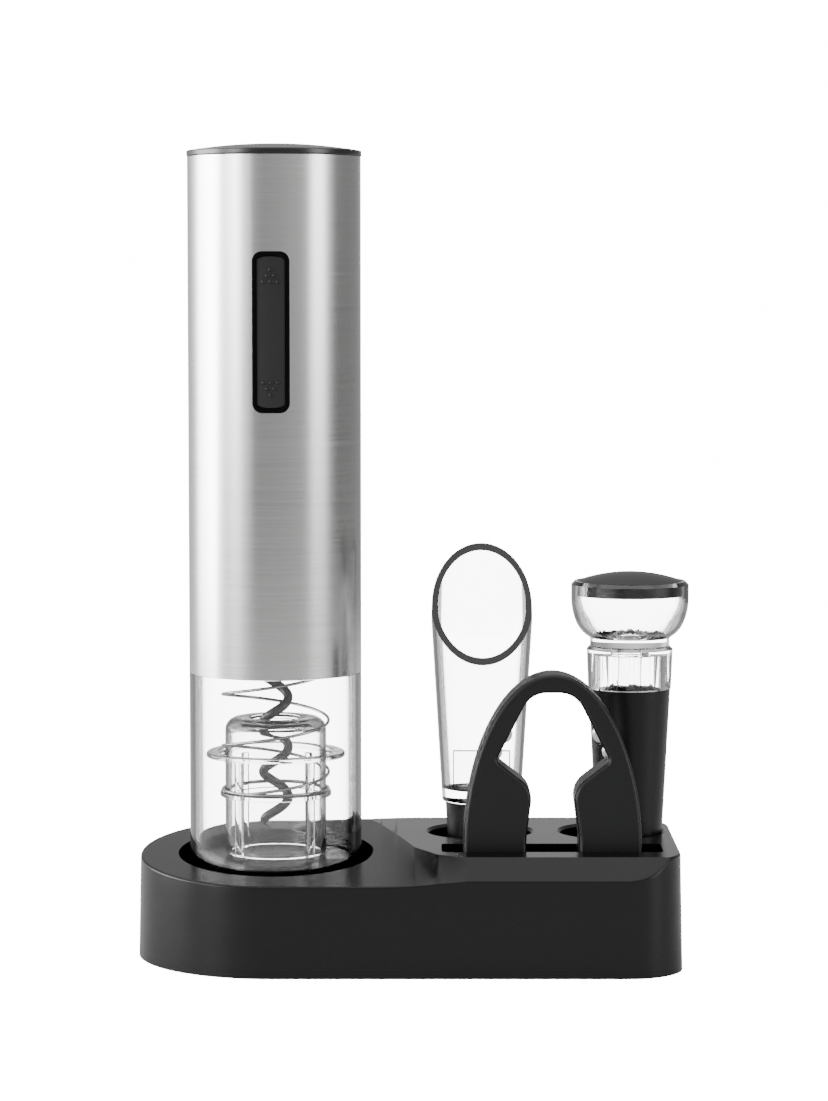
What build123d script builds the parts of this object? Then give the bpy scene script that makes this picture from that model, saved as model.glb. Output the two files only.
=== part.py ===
"""Electric wine opener with its stand, pourer, foil cutter and vacuum stopper.

Millimetres.  Origin at the bottom centre of the stand, +Z up, +X towards the
accessories, -Y towards the user.
"""
from build123d import *
from math import atan, cos, pi, radians, sin, sqrt
import os

os.makedirs("parts", exist_ok=True)

# ---------------------------------------------------------------- stand
stand_length = 157.0
stand_x = -2.1                # middle of the stand: the stopper's lid hangs over its right end
stand_depth = 80.0
stand_corner_r = 16.0
stand_draft = 1.2             # degrees
stand_lift = 0.4              # the rubber feet hold the shell this far up
deck_z = 34.0                 # flat deck around the accessories
deck_front_y = -33.5          # where the deck turns into the front chamfer
front_z = 26.5                # height of the front edge
tilt_back_z = 33.5            # height of the tilted deck at the back wall
shell_wall = 2.4
plate_thick = 2.0
plate_z = 1.2                 # underside of the bottom plate

# ---------------------------------------------------------------- opener
opener_x = -40.6              # the opener's axis, at y = 0
body_r = 25.0
sleeve_wall = 0.8
sleeve_z = (83.2, 231.8)
recess_r = 28.4
recess_floor_z = 12.4
boss_r = 21.8
boss_z = 29.4
cover_wall = 2.4
cover_z = 14.0
spigot_top_z = 96.0
bezel_size = (10.6, 45.5)
bezel_z = 181.8
bezel_corner_r = 2.8
bezel_ring = 1.15
rocker_size = (7.9, 42.6)
run_gap = 0.05                # radial clearance of shafts in their bores

# worm and return spring
worm_wire_r = 1.35
worm_mean_r = 3.65
worm_pitch = 14.5
worm_z = (37.9, 92.0)
spindle_z = (91.0, 109.5)
spring_wire_r = 0.45
spring_mean_r = 15.4
spring_pitch = 15.0
spring_z = (48.9, 100.5)

# bottle guide
guide_r = 14.7
guide_wall = 1.2
guide_top_z = 69.8
guide_bottom_z = 30.2
flange_r = 20.2
flange_z = (58.6, 60.0)
ledge_z = (47.0, 48.4)

# gear train
gear_module = 0.6
sun_teeth = 12
planet_teeth = 18
ring_teeth = 48
gear_z = (113.0, 119.0)
backlash = 0.08
pressure_angle = 20.0
planet_count = 3
orbit_r = gear_module * (sun_teeth + planet_teeth) / 2
motor_r = 13.85
motor_z = (123.0, 161.0)
shaft_r = 1.15

# battery bay
cell_r = 7.2
cell_z = (177.2, 227.7)
cell_offset = 7.6

# ---------------------------------------------------------------- accessories
accessory_y = 14.0
pourer_x = 19.7
stopper_x = 63.3
hole_x = (19.2, 58.0)
hole_r = 15.2
hole_floor_z = 6.0
cutter_x = 39.3
cutter_thick = 13.9
slot_x = (7.6, 70.9)
slot_y = (-24.6, -9.9)
slot_floor_z = 22.0

opener_axis = Location((opener_x, 0, 0))


def finish(part, label):
    """Label a finished piece and write its STEP file."""
    part.label = label
    export_step(part, f"parts/{label}.step")


def at_axis(x, y, z):
    """A horizontal plane centred on a vertical axis."""
    return Plane(origin=(x, y, z), z_dir=(0, 0, 1), x_dir=(1, 0, 0))


def half_plane(x, y):
    """The vertical plane in which a turned part's profile is drawn."""
    return Plane(origin=(x, y, 0), x_dir=(1, 0, 0), z_dir=(0, -1, 0))


# ---------------------------------------------------------------- stand shell
def stand_outline(inset):
    """Plan of the stand: a round end about the opener, a square end with big corners."""
    half = stand_depth / 2 - inset
    right = stand_x + stand_length / 2 - inset
    corner = stand_corner_r - inset
    with BuildSketch(mode=Mode.PRIVATE) as outline:
        with BuildLine():
            Line((opener_x, -half), (right - corner, -half))
            CenterArc((right - corner, -half + corner), corner, -90, 90)
            Line((right, -half + corner), (right, half - corner))
            CenterArc((right - corner, half - corner), corner, 0, 90)
            Line((right - corner, half), (opener_x, half))
            CenterArc((opener_x, 0), half, 90, 180)
        make_face()
    return outline.sketch


def deck_solid(drop):
    """Everything under the deck: a tilted left end that fans out into the flat right end."""
    half = stand_depth / 2 + 1
    slope = (tilt_back_z - front_z) / stand_depth
    low = front_z - slope
    high = tilt_back_z + slope
    creases = [(-13.6, 38.0), (-10.1, 26.0), (-5.6, 8.0), (-0.1, -16.0), (6.4, -29.0), (14.9, deck_front_y)]
    sections = []
    for place, (x, crease_y) in enumerate(creases):
        share = place / (len(creases) - 1)
        back = high + (deck_z - high) * min(1.0, share * 2)
        crease = back + (deck_z - back) * min(1.0, share * 3)
        with BuildSketch(Plane.YZ.offset(x), mode=Mode.PRIVATE) as section:
            with BuildLine():
                Polyline((-half, -2), (-half, low - drop), (crease_y, crease - drop),
                         (half, back - drop), (half, -2), close=True)
            make_face()
        sections.append(section.sketch.faces()[0])
    fan = Solid.make_loft([face.outer_wire() for face in sections], ruled=True)
    left = Solid.extrude(sections[0], Vector(-stand_length, 0, 0))
    right = Solid.extrude(sections[-1], Vector(stand_length, 0, 0))
    return left.fuse(fan, right).clean()


pocket_wall = 2.0
skin = 2.6                    # thickness of the deck
screw_spots = [(-75.2, 0), (-40.6, -34.4), (-40.6, 34.4), (-1, 0), (38.6, 34.4), (66.4, -29.6)]
screw_r = 1.4
foot_spots = [(-62, -22), (-62, 22), (60, -22), (62, 27), (0, -28)]
foot_r = 5.0
seat_inset = 1.3
seat_z = plate_z + plate_thick

with BuildPart() as stand_shell:
    with BuildSketch(Plane.XY.offset(stand_lift)):
        add(stand_outline(0))
    extrude(amount=deck_z + 4, taper=stand_draft)
    add(deck_solid(0), mode=Mode.INTERSECT)
    top_edges = stand_shell.edges().filter_by(lambda edge: edge.center().Z > 25)
    rim_edges = top_edges.filter_by(lambda edge: abs(edge.center().Y) > 37 or abs(edge.center().X) > 70)
    fillet(rim_edges, 0.7)

# the hollow underneath, less the walls that stand around each pocket
with BuildPart() as shell_hollow:
    with BuildSketch(Plane.XY.offset(seat_z)):
        add(stand_outline(shell_wall + 0.4))
    extrude(amount=deck_z + 4, taper=stand_draft)
    add(deck_solid(skin), mode=Mode.INTERSECT)
    with Locations(at_axis(opener_x, 0, recess_floor_z - pocket_wall)):
        Cylinder(recess_r + pocket_wall, deck_z, align=(Align.CENTER, Align.CENTER, Align.MIN), mode=Mode.SUBTRACT)
    with Locations(*[at_axis(x, accessory_y, hole_floor_z - pocket_wall) for x in hole_x]):
        Cylinder(hole_r + pocket_wall, deck_z, align=(Align.CENTER, Align.CENTER, Align.MIN), mode=Mode.SUBTRACT)
    with BuildSketch(Plane.XY.offset(slot_floor_z - pocket_wall)):
        with Locations(((slot_x[0] + slot_x[1]) / 2, (slot_y[0] + slot_y[1]) / 2)):
            Rectangle(slot_x[1] - slot_x[0] + 2 * pocket_wall, slot_y[1] - slot_y[0] + 2 * pocket_wall)
    extrude(amount=deck_z, mode=Mode.SUBTRACT)
    with Locations(*[(x, y, seat_z) for x, y in screw_spots]):
        Cylinder(3.2, deck_z, align=(Align.CENTER, Align.CENTER, Align.MIN), mode=Mode.SUBTRACT)
    # the underside of the boss in the middle of the recess
    with Locations(at_axis(opener_x, 0, 0)):
        Cylinder(boss_r - pocket_wall, boss_z - pocket_wall, align=(Align.CENTER, Align.CENTER, Align.MIN))
    with BuildSketch(Plane.XY):
        add(stand_outline(0))
    extrude(amount=seat_z, mode=Mode.SUBTRACT)

with stand_shell:
    add(shell_hollow.part, mode=Mode.SUBTRACT)
    with BuildSketch(Plane.XY):
        add(stand_outline(seat_inset))
    extrude(amount=seat_z, mode=Mode.SUBTRACT)
    # the ring-shaped recess that the opener's cover drops into
    with BuildSketch(Plane.XY.offset(recess_floor_z)):
        with Locations((opener_x, 0)):
            Circle(recess_r)
            Circle(boss_r, mode=Mode.SUBTRACT)
    extrude(amount=deck_z, mode=Mode.SUBTRACT)
    with BuildSketch(Plane.XY.offset(boss_z)):
        with Locations((opener_x, 0)):
            Circle(recess_r)
    extrude(amount=deck_z, mode=Mode.SUBTRACT)
    for x in hole_x:
        with Locations(at_axis(x, accessory_y, hole_floor_z)):
            Cylinder(hole_r, deck_z, align=(Align.CENTER, Align.CENTER, Align.MIN), mode=Mode.SUBTRACT)
        with Locations(at_axis(x, accessory_y, deck_z - 0.8)):
            Cone(hole_r, hole_r + 1.6, 1.6, align=(Align.CENTER, Align.CENTER, Align.MIN), mode=Mode.SUBTRACT)
    with BuildSketch(Plane.XY.offset(slot_floor_z)):
        with Locations(((slot_x[0] + slot_x[1]) / 2, (slot_y[0] + slot_y[1]) / 2)):
            RectangleRounded(slot_x[1] - slot_x[0], slot_y[1] - slot_y[0], 1.5)
    extrude(amount=deck_z, mode=Mode.SUBTRACT)
    with Locations(*[(x, y, 0) for x, y in screw_spots]):
        Cylinder(screw_r + run_gap, 11, align=(Align.CENTER, Align.CENTER, Align.MIN), mode=Mode.SUBTRACT)

# the wells hang under the holes in the deck as mouldings of their own, welded to it
opener_well_top = 23.5
small_well_top = deck_z - skin - 0.4
well_reach = pocket_wall + 0.02
with BuildPart() as well_space:
    with Locations(at_axis(opener_x, 0, seat_z)):
        Cylinder(recess_r + well_reach, opener_well_top - seat_z, align=(Align.CENTER, Align.CENTER, Align.MIN))
        Cylinder(boss_r + 0.2, boss_z + 1 - seat_z, align=(Align.CENTER, Align.CENTER, Align.MIN))
    with Locations(*[at_axis(x, accessory_y, seat_z) for x in hole_x]):
        Cylinder(hole_r + well_reach, small_well_top - seat_z, align=(Align.CENTER, Align.CENTER, Align.MIN))
    with Locations(((slot_x[0] + slot_x[1]) / 2, (slot_y[0] + slot_y[1]) / 2, slot_floor_z - pocket_wall)):
        Box(slot_x[1] - slot_x[0] + 2 * well_reach, slot_y[1] - slot_y[0] + 2 * well_reach,
            small_well_top - slot_floor_z + pocket_wall, align=(Align.CENTER, Align.CENTER, Align.MIN))
    with BuildSketch(Plane.XY.offset(seat_z)):
        add(stand_outline(shell_wall + 0.4))
    extrude(amount=deck_z, taper=stand_draft, mode=Mode.INTERSECT)

with BuildPart() as stand_wells:
    add(stand_shell.part)
    add(well_space.part, mode=Mode.INTERSECT)
finish(stand_wells.part, "stand_wells")

with stand_shell:
    add(well_space.part, mode=Mode.SUBTRACT)
finish(stand_shell.part, "stand_shell")

# ---------------------------------------------------------------- stand bottom
head_r = 2.6
head_high = 1.0

with BuildPart() as base_plate:
    with BuildSketch(Plane.XY.offset(plate_z)):
        add(stand_outline(seat_inset + 0.15))
    extrude(amount=plate_thick)
    with Locations(*[(x, y, plate_z) for x, y in screw_spots]):
        Cylinder(head_r + 0.3, head_high, align=(Align.CENTER, Align.CENTER, Align.MIN), mode=Mode.SUBTRACT)
        Cylinder(screw_r + run_gap, 9, mode=Mode.SUBTRACT)
    with Locations(*[(x, y, plate_z) for x, y in foot_spots]):
        Cylinder(foot_r + 0.1, 0.8, align=(Align.CENTER, Align.CENTER, Align.MIN), mode=Mode.SUBTRACT)
finish(base_plate.part, "base_plate")

with BuildPart() as stand_feet:
    with Locations(*[(x, y, 0) for x, y in foot_spots]):
        Cylinder(foot_r, plate_z + 0.8, align=(Align.CENTER, Align.CENTER, Align.MIN))
    fillet(stand_feet.edges().group_by(Axis.Z)[0], 0.4)
finish(stand_feet.part, "stand_feet")

with BuildPart() as stand_screws:
    with Locations(*[(x, y, plate_z) for x, y in screw_spots]):
        Cylinder(head_r, head_high, align=(Align.CENTER, Align.CENTER, Align.MIN))
    fillet(stand_screws.edges().group_by(Axis.Z)[0], 0.4)
    with Locations(*[(x, y, plate_z + head_high) for x, y in screw_spots]):
        Cylinder(screw_r, 7.5, align=(Align.CENTER, Align.CENTER, Align.MIN))
    with Locations(*[(x, y, plate_z) for x, y in screw_spots]):
        Box(2.6, 0.6, 1.0, mode=Mode.SUBTRACT)
        Box(0.6, 2.6, 1.0, mode=Mode.SUBTRACT)
finish(stand_screws.part, "stand_screws")

# ---------------------------------------------------------------- opener body
def tube(axis_x, axis_y, outer, inner, low, high):
    """A plain tube, made apart from the part that uses it."""
    centre = (Align.CENTER, Align.CENTER, Align.MIN)
    solid = Cylinder(outer, high - low, align=centre, mode=Mode.PRIVATE)
    hole = Cylinder(inner, high - low, align=centre, mode=Mode.PRIVATE)
    return Pos(axis_x, axis_y, low) * (solid - hole)


bezel_inner = (bezel_size[0] - 2 * bezel_ring, bezel_size[1] - 2 * bezel_ring)
front = Plane(origin=(opener_x, 0, bezel_z), x_dir=(1, 0, 0), z_dir=(0, -1, 0))

with BuildPart() as steel_sleeve:
    add(tube(opener_x, 0, body_r, body_r - sleeve_wall, *sleeve_z))
    with BuildSketch(front):
        RectangleRounded(bezel_size[0] - 0.6, bezel_size[1] - 0.6, bezel_corner_r - 0.3)
    extrude(amount=body_r + 5, mode=Mode.SUBTRACT)
finish(steel_sleeve.part, "steel_sleeve")

with BuildPart() as button_bezel:
    with BuildSketch(front):
        RectangleRounded(*bezel_size, bezel_corner_r)
    extrude(amount=body_r + 5)
    add(tube(opener_x, 0, body_r + 0.35, body_r + 0.02, *sleeve_z), mode=Mode.INTERSECT)
    with BuildSketch(front):
        RectangleRounded(bezel_size[0] - 0.8, bezel_size[1] - 0.8, bezel_corner_r - 0.4)
    extrude(amount=body_r + 0.1)
    with Locations(opener_axis):
        Box(40, 40.4, 600, align=(Align.CENTER, Align.CENTER, Align.MIN), mode=Mode.SUBTRACT)
    with BuildSketch(front):
        RectangleRounded(*bezel_inner, bezel_corner_r - bezel_ring)
    extrude(amount=body_r + 5, mode=Mode.SUBTRACT)
finish(button_bezel.part, "button_bezel")

rocker_back_y = 22.6
dot_r = 0.5
dot_rows = [(17.6, 1), (15.9, 2), (14.2, 3)]
dot_pitch = 2.0
pivot_r = 0.9
pivot_y = -23.7

with BuildPart() as rocker_button:
    with BuildSketch(front):
        Rectangle(rocker_size[0], rocker_size[1] - 2.6)
        with Locations((0, rocker_size[1] / 2 - 1.3), (0, -rocker_size[1] / 2 + 1.3)):
            Ellipse(rocker_size[0] / 2, 1.3)
    extrude(amount=body_r + 5)
    add(tube(opener_x, 0, body_r - 0.05, 10, *sleeve_z), mode=Mode.INTERSECT)
    with Locations((opener_x, 0, 0)):
        Box(40, 2 * rocker_back_y, 600, align=(Align.CENTER, Align.CENTER, Align.MIN), mode=Mode.SUBTRACT)
    for side in (1, -1):
        for height, count in dot_rows:
            for place in range(count):
                across = (place - (count - 1) / 2) * dot_pitch
                depth = sqrt(body_r ** 2 - across ** 2) - 0.25
                with Locations(Location((opener_x + across, -depth, bezel_z + side * height), (90, 0, 0))):
                    Cylinder(dot_r, 0.5, align=(Align.CENTER, Align.CENTER, Align.MIN))
    # plungers that press the two switches
    with Locations((opener_x, -rocker_back_y, bezel_z + 14), (opener_x, -rocker_back_y, bezel_z - 14)):
        Box(3, 1.6, 3)
finish(rocker_button.part, "rocker_button")

board_y = (-20.2, -18.8)
with BuildPart() as switch_board:
    with Locations((opener_x, board_y[1], bezel_z)):
        Box(14, board_y[1] - board_y[0], 44, align=(Align.CENTER, Align.MAX, Align.CENTER))
finish(switch_board.part, "switch_board")

with BuildPart() as tact_switches:
    with Locations((opener_x, board_y[0], bezel_z + 14), (opener_x, board_y[0], bezel_z - 14)):
        Box(4, 0.7, 4, align=(Align.CENTER, Align.MAX, Align.CENTER))
finish(tact_switches.part, "tact_switches")

# ---------------------------------------------------------------- clear cover
cover_inner_r = body_r - cover_wall
spigot_r = body_r - sleeve_wall - 0.1
with BuildPart() as clear_cover:
    with BuildSketch(half_plane(opener_x, 0)):
        Polygon((cover_inner_r, cover_z), (body_r, cover_z), (body_r, sleeve_z[0]), (spigot_r, sleeve_z[0]),
                (spigot_r, spigot_top_z), (cover_inner_r, spigot_top_z), align=None)
    revolve(axis=Axis((opener_x, 0, 0), (0, 0, 1)))
    fillet(clear_cover.edges().group_by(Axis.Z)[0], 0.7)
finish(clear_cover.part, "clear_cover")

# ---------------------------------------------------------------- worm drive
worm_start = Plane(origin=(opener_x, 0, worm_z[0]), x_dir=(-1, 0, 0), z_dir=(0, 0, 1))
tip_length = 4.0
shank_r = 5.0

with BuildPart() as worm:
    with BuildLine(worm_start):
        coil = Helix(pitch=worm_pitch, height=worm_z[1] - worm_z[0] + 3, radius=worm_mean_r)
    with BuildSketch(Plane(origin=coil @ 0, z_dir=coil % 0)):
        Circle(worm_wire_r)
    sweep(path=coil, is_frenet=True)
    with BuildSketch(Plane(origin=coil @ 0 + (coil % 0) * 0.2, z_dir=-(coil % 0))):
        Circle(worm_wire_r - 0.02)
    extrude(amount=tip_length, taper=16)
    with Locations(at_axis(opener_x, 0, worm_z[1])):
        Cylinder(shank_r + 0.2, 6, align=(Align.CENTER, Align.CENTER, Align.MIN))
finish(worm.part, "worm")

spindle_shaft_r = 4.0
carrier_z = (spindle_z[1], 112.5)
with BuildPart() as spindle:
    with Locations(at_axis(opener_x, 0, spindle_z[0])):
        Cylinder(7.2, 8.6, align=(Align.CENTER, Align.CENTER, Align.MIN))
        Cylinder(spindle_shaft_r, carrier_z[1] - spindle_z[0], align=(Align.CENTER, Align.CENTER, Align.MIN))
    with Locations(at_axis(opener_x, 0, spindle_z[0])):
        Cylinder(shank_r + 0.22, worm_z[1] + 6 - spindle_z[0], align=(Align.CENTER, Align.CENTER, Align.MIN),
                 mode=Mode.SUBTRACT)
finish(spindle.part, "spindle")

pin_r = 1.2
with BuildPart() as planet_carrier:
    with Locations(at_axis(opener_x, 0, carrier_z[0])):
        Cylinder(12.6, carrier_z[1] - carrier_z[0], align=(Align.CENTER, Align.CENTER, Align.MIN))
    fillet(planet_carrier.edges().group_by(Axis.Z)[-1], 0.5)
    with Locations(at_axis(opener_x, 0, carrier_z[0])):
        Cylinder(spindle_shaft_r, 10, mode=Mode.SUBTRACT)
    with Locations(at_axis(opener_x, 0, carrier_z[0])):
        with PolarLocations(orbit_r, planet_count):
            Cylinder(pin_r, 10, mode=Mode.SUBTRACT)
finish(planet_carrier.part, "planet_carrier")

with BuildPart() as planet_pins:
    with Locations(at_axis(opener_x, 0, carrier_z[0])):
        with PolarLocations(orbit_r, planet_count):
            Cylinder(pin_r, gear_z[1] - carrier_z[0] + 0.4, align=(Align.CENTER, Align.CENTER, Align.MIN))
finish(planet_pins.part, "planet_pins")


# ---------------------------------------------------------------- gears
def tooth_flank(teeth, radius, shrink):
    """Half the tooth angle of an involute gear at a radius, in radians."""
    pitch_r = gear_module * teeth / 2
    base_r = pitch_r * cos(radians(pressure_angle))

    def involute(r):
        ratio = sqrt(max((r / base_r) ** 2 - 1, 0.0))
        return ratio - atan(ratio)

    return pi / (2 * teeth) - shrink / pitch_r + involute(pitch_r) - involute(max(radius, base_r))


def gear_profile(teeth, root_r, tip_r, turn, shrink):
    """Outline of a spur gear: four points a flank, straight tips and roots."""
    steps = 3
    points = []
    for tooth in range(teeth):
        middle = turn + 2 * pi * tooth / teeth
        radii = [root_r + (tip_r - root_r) * step / steps for step in range(steps + 1)]
        for radius in radii:
            angle = middle - tooth_flank(teeth, radius, shrink)
            points.append((radius * cos(angle), radius * sin(angle)))
        for radius in reversed(radii):
            angle = middle + tooth_flank(teeth, radius, shrink)
            points.append((radius * cos(angle), radius * sin(angle)))
    return points


def spur_gear(teeth, turn, bore_r, x, y):
    """A spur gear with its bore, standing between the gear faces."""
    pitch_r = gear_module * teeth / 2
    outline = gear_profile(teeth, pitch_r - 1.2 * gear_module, pitch_r + 0.9 * gear_module, turn, backlash)
    with BuildPart(mode=Mode.PRIVATE) as gear:
        with BuildSketch(Plane.XY.offset(gear_z[0])):
            Polygon(*outline, align=None)
            Circle(bore_r, mode=Mode.SUBTRACT)
        extrude(amount=gear_z[1] - gear_z[0])
    return Pos(x, y, 0) * gear.part


# a planet's tooth points at the sun where the sun has a gap, and meets a gap of the ring
for number in range(planet_count):
    orbit_angle = 2 * pi * number / planet_count
    planet_turn = orbit_angle + pi
    with BuildPart() as planet_gear:
        add(spur_gear(planet_teeth, planet_turn, pin_r + run_gap,
                      opener_x + orbit_r * cos(orbit_angle), orbit_r * sin(orbit_angle)))
    finish(planet_gear.part, f"planet_gear_{number + 1}")

with BuildPart() as sun_gear:
    add(spur_gear(sun_teeth, pi / sun_teeth, shaft_r, opener_x, 0))
finish(sun_gear.part, "sun_gear")

ring_r = 19.0
ring_z = (104.0, 121.0)
ring_pitch_r = gear_module * ring_teeth / 2
with BuildPart() as ring_gear:
    with BuildSketch(Plane.XY.offset(ring_z[0])):
        with Locations((opener_x, 0)):
            Circle(ring_r)
            Circle(ring_pitch_r + 1.0, mode=Mode.SUBTRACT)
    extrude(amount=ring_z[1] - ring_z[0])
    with BuildSketch(Plane.XY.offset(gear_z[0] - 0.5)):
        with Locations((opener_x, 0)):
            Circle(ring_r - 1)
            # the spaces between the ring's teeth are the teeth of a gear of the same pitch
            Polygon(*gear_profile(ring_teeth, ring_pitch_r - 0.55, ring_pitch_r + 0.75, 0, -backlash),
                    align=None, mode=Mode.SUBTRACT)
    extrude(amount=gear_z[1] - gear_z[0] + 1)
finish(ring_gear.part, "ring_gear")

# ---------------------------------------------------------------- bearing and motor
bearing_z = (101.0, 104.0)
bush_r = 6.5
with BuildPart() as bearing_plate:
    with Locations(at_axis(opener_x, 0, bearing_z[0])):
        Cylinder(23.9, bearing_z[1] - bearing_z[0], align=(Align.CENTER, Align.CENTER, Align.MIN))
    with Locations(at_axis(opener_x, 0, bearing_z[1])):
        Cylinder(9.5, 4.5, align=(Align.CENTER, Align.CENTER, Align.MIN))
    with Locations(at_axis(opener_x, 0, bearing_z[0])):
        Cylinder(bush_r, 20, mode=Mode.SUBTRACT)
finish(bearing_plate.part, "bearing_plate")

with BuildPart() as spindle_bush:
    add(tube(opener_x, 0, bush_r, spindle_shaft_r + run_gap, bearing_z[0], bearing_z[1] + 4.5))
finish(spindle_bush.part, "spindle_bush")

with BuildPart() as motor_plate:
    with Locations(at_axis(opener_x, 0, ring_z[1])):
        Cylinder(ring_r, motor_z[0] - ring_z[1], align=(Align.CENTER, Align.CENTER, Align.MIN))
        Cylinder(3.0, 10, mode=Mode.SUBTRACT)
        with PolarLocations(8.0, 2):
            Cylinder(1.3, 10, mode=Mode.SUBTRACT)
finish(motor_plate.part, "motor_plate")

with BuildPart() as motor_screws:
    with Locations(at_axis(opener_x, 0, motor_z[0])):
        with PolarLocations(8.0, 2):
            Cylinder(1.25, 3.2)
finish(motor_screws.part, "motor_screws")

with BuildPart() as motor_can:
    add(tube(opener_x, 0, motor_r, motor_r - 1.0, *motor_z))
    with Locations(at_axis(opener_x, 0, motor_z[0])):
        Cylinder(motor_r - 0.5, 1.2, align=(Align.CENTER, Align.CENTER, Align.MIN))
        Cylinder(3.0, 10, mode=Mode.SUBTRACT)
        with PolarLocations(8.0, 2):
            Cylinder(1.26, 10, mode=Mode.SUBTRACT)
finish(motor_can.part, "motor_can")

with BuildPart() as motor_bearing:
    add(tube(opener_x, 0, 2.95, shaft_r + run_gap, motor_z[0] - 1.5, motor_z[0] + 3.0))
finish(motor_bearing.part, "motor_bearing")

with BuildPart() as motor_magnets:
    add(tube(opener_x, 0, motor_r - 1.05, 10.4, motor_z[0] + 5, motor_z[0] + 33))
    with Locations((opener_x, 0, motor_z[0])):
        Box(6, 60, 100, mode=Mode.SUBTRACT)
finish(motor_magnets.part, "motor_magnets")

with BuildPart() as motor_end_cap:
    with Locations(at_axis(opener_x, 0, motor_z[1])):
        Cylinder(motor_r, 2.5, align=(Align.CENTER, Align.CENTER, Align.MIN))
        Cylinder(shaft_r + run_gap, 20, mode=Mode.SUBTRACT)
finish(motor_end_cap.part, "motor_end_cap")

with BuildPart() as motor_shaft:
    with Locations(at_axis(opener_x, 0, gear_z[0])):
        Cylinder(shaft_r, motor_z[1] + 3.5 - gear_z[0], align=(Align.CENTER, Align.CENTER, Align.MIN))
finish(motor_shaft.part, "motor_shaft")

with BuildPart() as motor_rotor:
    with BuildSketch(Plane.XY.offset(motor_z[0] + 7)):
        with Locations((opener_x, 0)):
            Circle(9.8)
            Circle(shaft_r, mode=Mode.SUBTRACT)
            with PolarLocations(7.4, 3, start_angle=30):
                Rectangle(7, 1.2, mode=Mode.SUBTRACT)
    extrude(amount=24)
    with Locations(at_axis(opener_x, 0, motor_z[0] + 31)):
        Cylinder(3.2, 5.5, align=(Align.CENTER, Align.CENTER, Align.MIN))
        Cylinder(shaft_r, 40, mode=Mode.SUBTRACT)
finish(motor_rotor.part, "motor_rotor")

# ---------------------------------------------------------------- chassis and batteries
chassis_z = (104.2, 174.2)
chassis_r = body_r - sleeve_wall - 0.2
for label, side in (("chassis_front", -1), ("chassis_rear", 1)):
    with BuildPart() as chassis_half:
        add(tube(opener_x, 0, chassis_r, chassis_r - 1.6, *chassis_z))
        add(tube(opener_x, 0, chassis_r - 1, ring_r + 0.1, chassis_z[0], chassis_z[0] + 3))
        add(tube(opener_x, 0, chassis_r - 1, motor_r + 0.1, motor_z[0] + 6, motor_z[0] + 9))
        add(tube(opener_x, 0, chassis_r - 1, motor_r + 0.1, motor_z[0] + 28, motor_z[0] + 31))
        with Locations((opener_x, side * 0.1, 0)):
            Box(80, 80, 500, align=(Align.CENTER, Align.MAX if side > 0 else Align.MIN, Align.MIN),
                mode=Mode.SUBTRACT)
        with Locations((opener_x, -20, bezel_z)):
            Box(15, 12, 48, mode=Mode.SUBTRACT)
    finish(chassis_half.part, label)

cell_places = [(opener_x + dx * cell_offset, dy * cell_offset) for dx in (-1, 1) for dy in (-1, 1)]
tray_z = (174.4, 229.0)
with BuildPart() as battery_tray:
    with Locations(at_axis(opener_x, 0, tray_z[0])):
        Cylinder(19.4, tray_z[1] - tray_z[0], align=(Align.CENTER, Align.CENTER, Align.MIN))
        Cylinder(chassis_r, 2, align=(Align.CENTER, Align.CENTER, Align.MIN))
    with Locations(at_axis(opener_x, 0, tray_z[1] - 2)):
        Cylinder(chassis_r, 2, align=(Align.CENTER, Align.CENTER, Align.MIN))
    with Locations(*[(x, y, tray_z[0] + 2) for x, y in cell_places]):
        Cylinder(cell_r + 0.2, 80, align=(Align.CENTER, Align.CENTER, Align.MIN), mode=Mode.SUBTRACT)
    with Locations((opener_x, -17.6, bezel_z)):
        Box(15, 40, 48, align=(Align.CENTER, Align.MAX, Align.CENTER), mode=Mode.SUBTRACT)
finish(battery_tray.part, "battery_tray")

with BuildPart() as battery_cells:
    with Locations(*[(x, y, cell_z[0]) for x, y in cell_places]):
        Cylinder(cell_r, 49.2, align=(Align.CENTER, Align.CENTER, Align.MIN))
    fillet(battery_cells.edges().filter_by(GeomType.CIRCLE), 0.6)
    with Locations(*[(x, y, cell_z[0] + 49.2) for x, y in cell_places]):
        Cylinder(2.7, cell_z[1] - cell_z[0] - 49.2, align=(Align.CENTER, Align.CENTER, Align.MIN))
finish(battery_cells.part, "battery_cells")

with BuildPart() as lower_contacts:
    with Locations(*[(x, y, tray_z[0] + 2) for x, y in cell_places]):
        Cylinder(5.5, 0.7, align=(Align.CENTER, Align.CENTER, Align.MIN))
finish(lower_contacts.part, "lower_contacts")

# ---------------------------------------------------------------- battery cap
cap_r = 25.2
cap_ring_z = (231.95, 233.5)
dome_r = 24.7
apex_z = 235.6
dome_edge_z = 233.6
with BuildPart() as cap_ring:
    with Locations(at_axis(opener_x, 0, cap_ring_z[0])):
        Cylinder(cap_r, cap_ring_z[1] - cap_ring_z[0], align=(Align.CENTER, Align.CENTER, Align.MIN))
    fillet(cap_ring.edges().filter_by(GeomType.CIRCLE), 0.25)
    with Locations(at_axis(opener_x, 0, cap_ring_z[0])):
        Cylinder(23.7, 2.2, align=(Align.CENTER, Align.CENTER, Align.MAX))
finish(cap_ring.part, "cap_ring")

dome_rise = apex_z - dome_edge_z
dome_sphere_r = (dome_r ** 2 + dome_rise ** 2) / (2 * dome_rise)
with BuildPart() as cap_dome:
    with Locations(at_axis(opener_x, 0, cap_ring_z[1])):
        Cylinder(dome_r, 8, align=(Align.CENTER, Align.CENTER, Align.MIN))
    with Locations((opener_x, 0, apex_z - dome_sphere_r)):
        Sphere(dome_sphere_r, mode=Mode.INTERSECT)
finish(cap_dome.part, "cap_dome")

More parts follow.
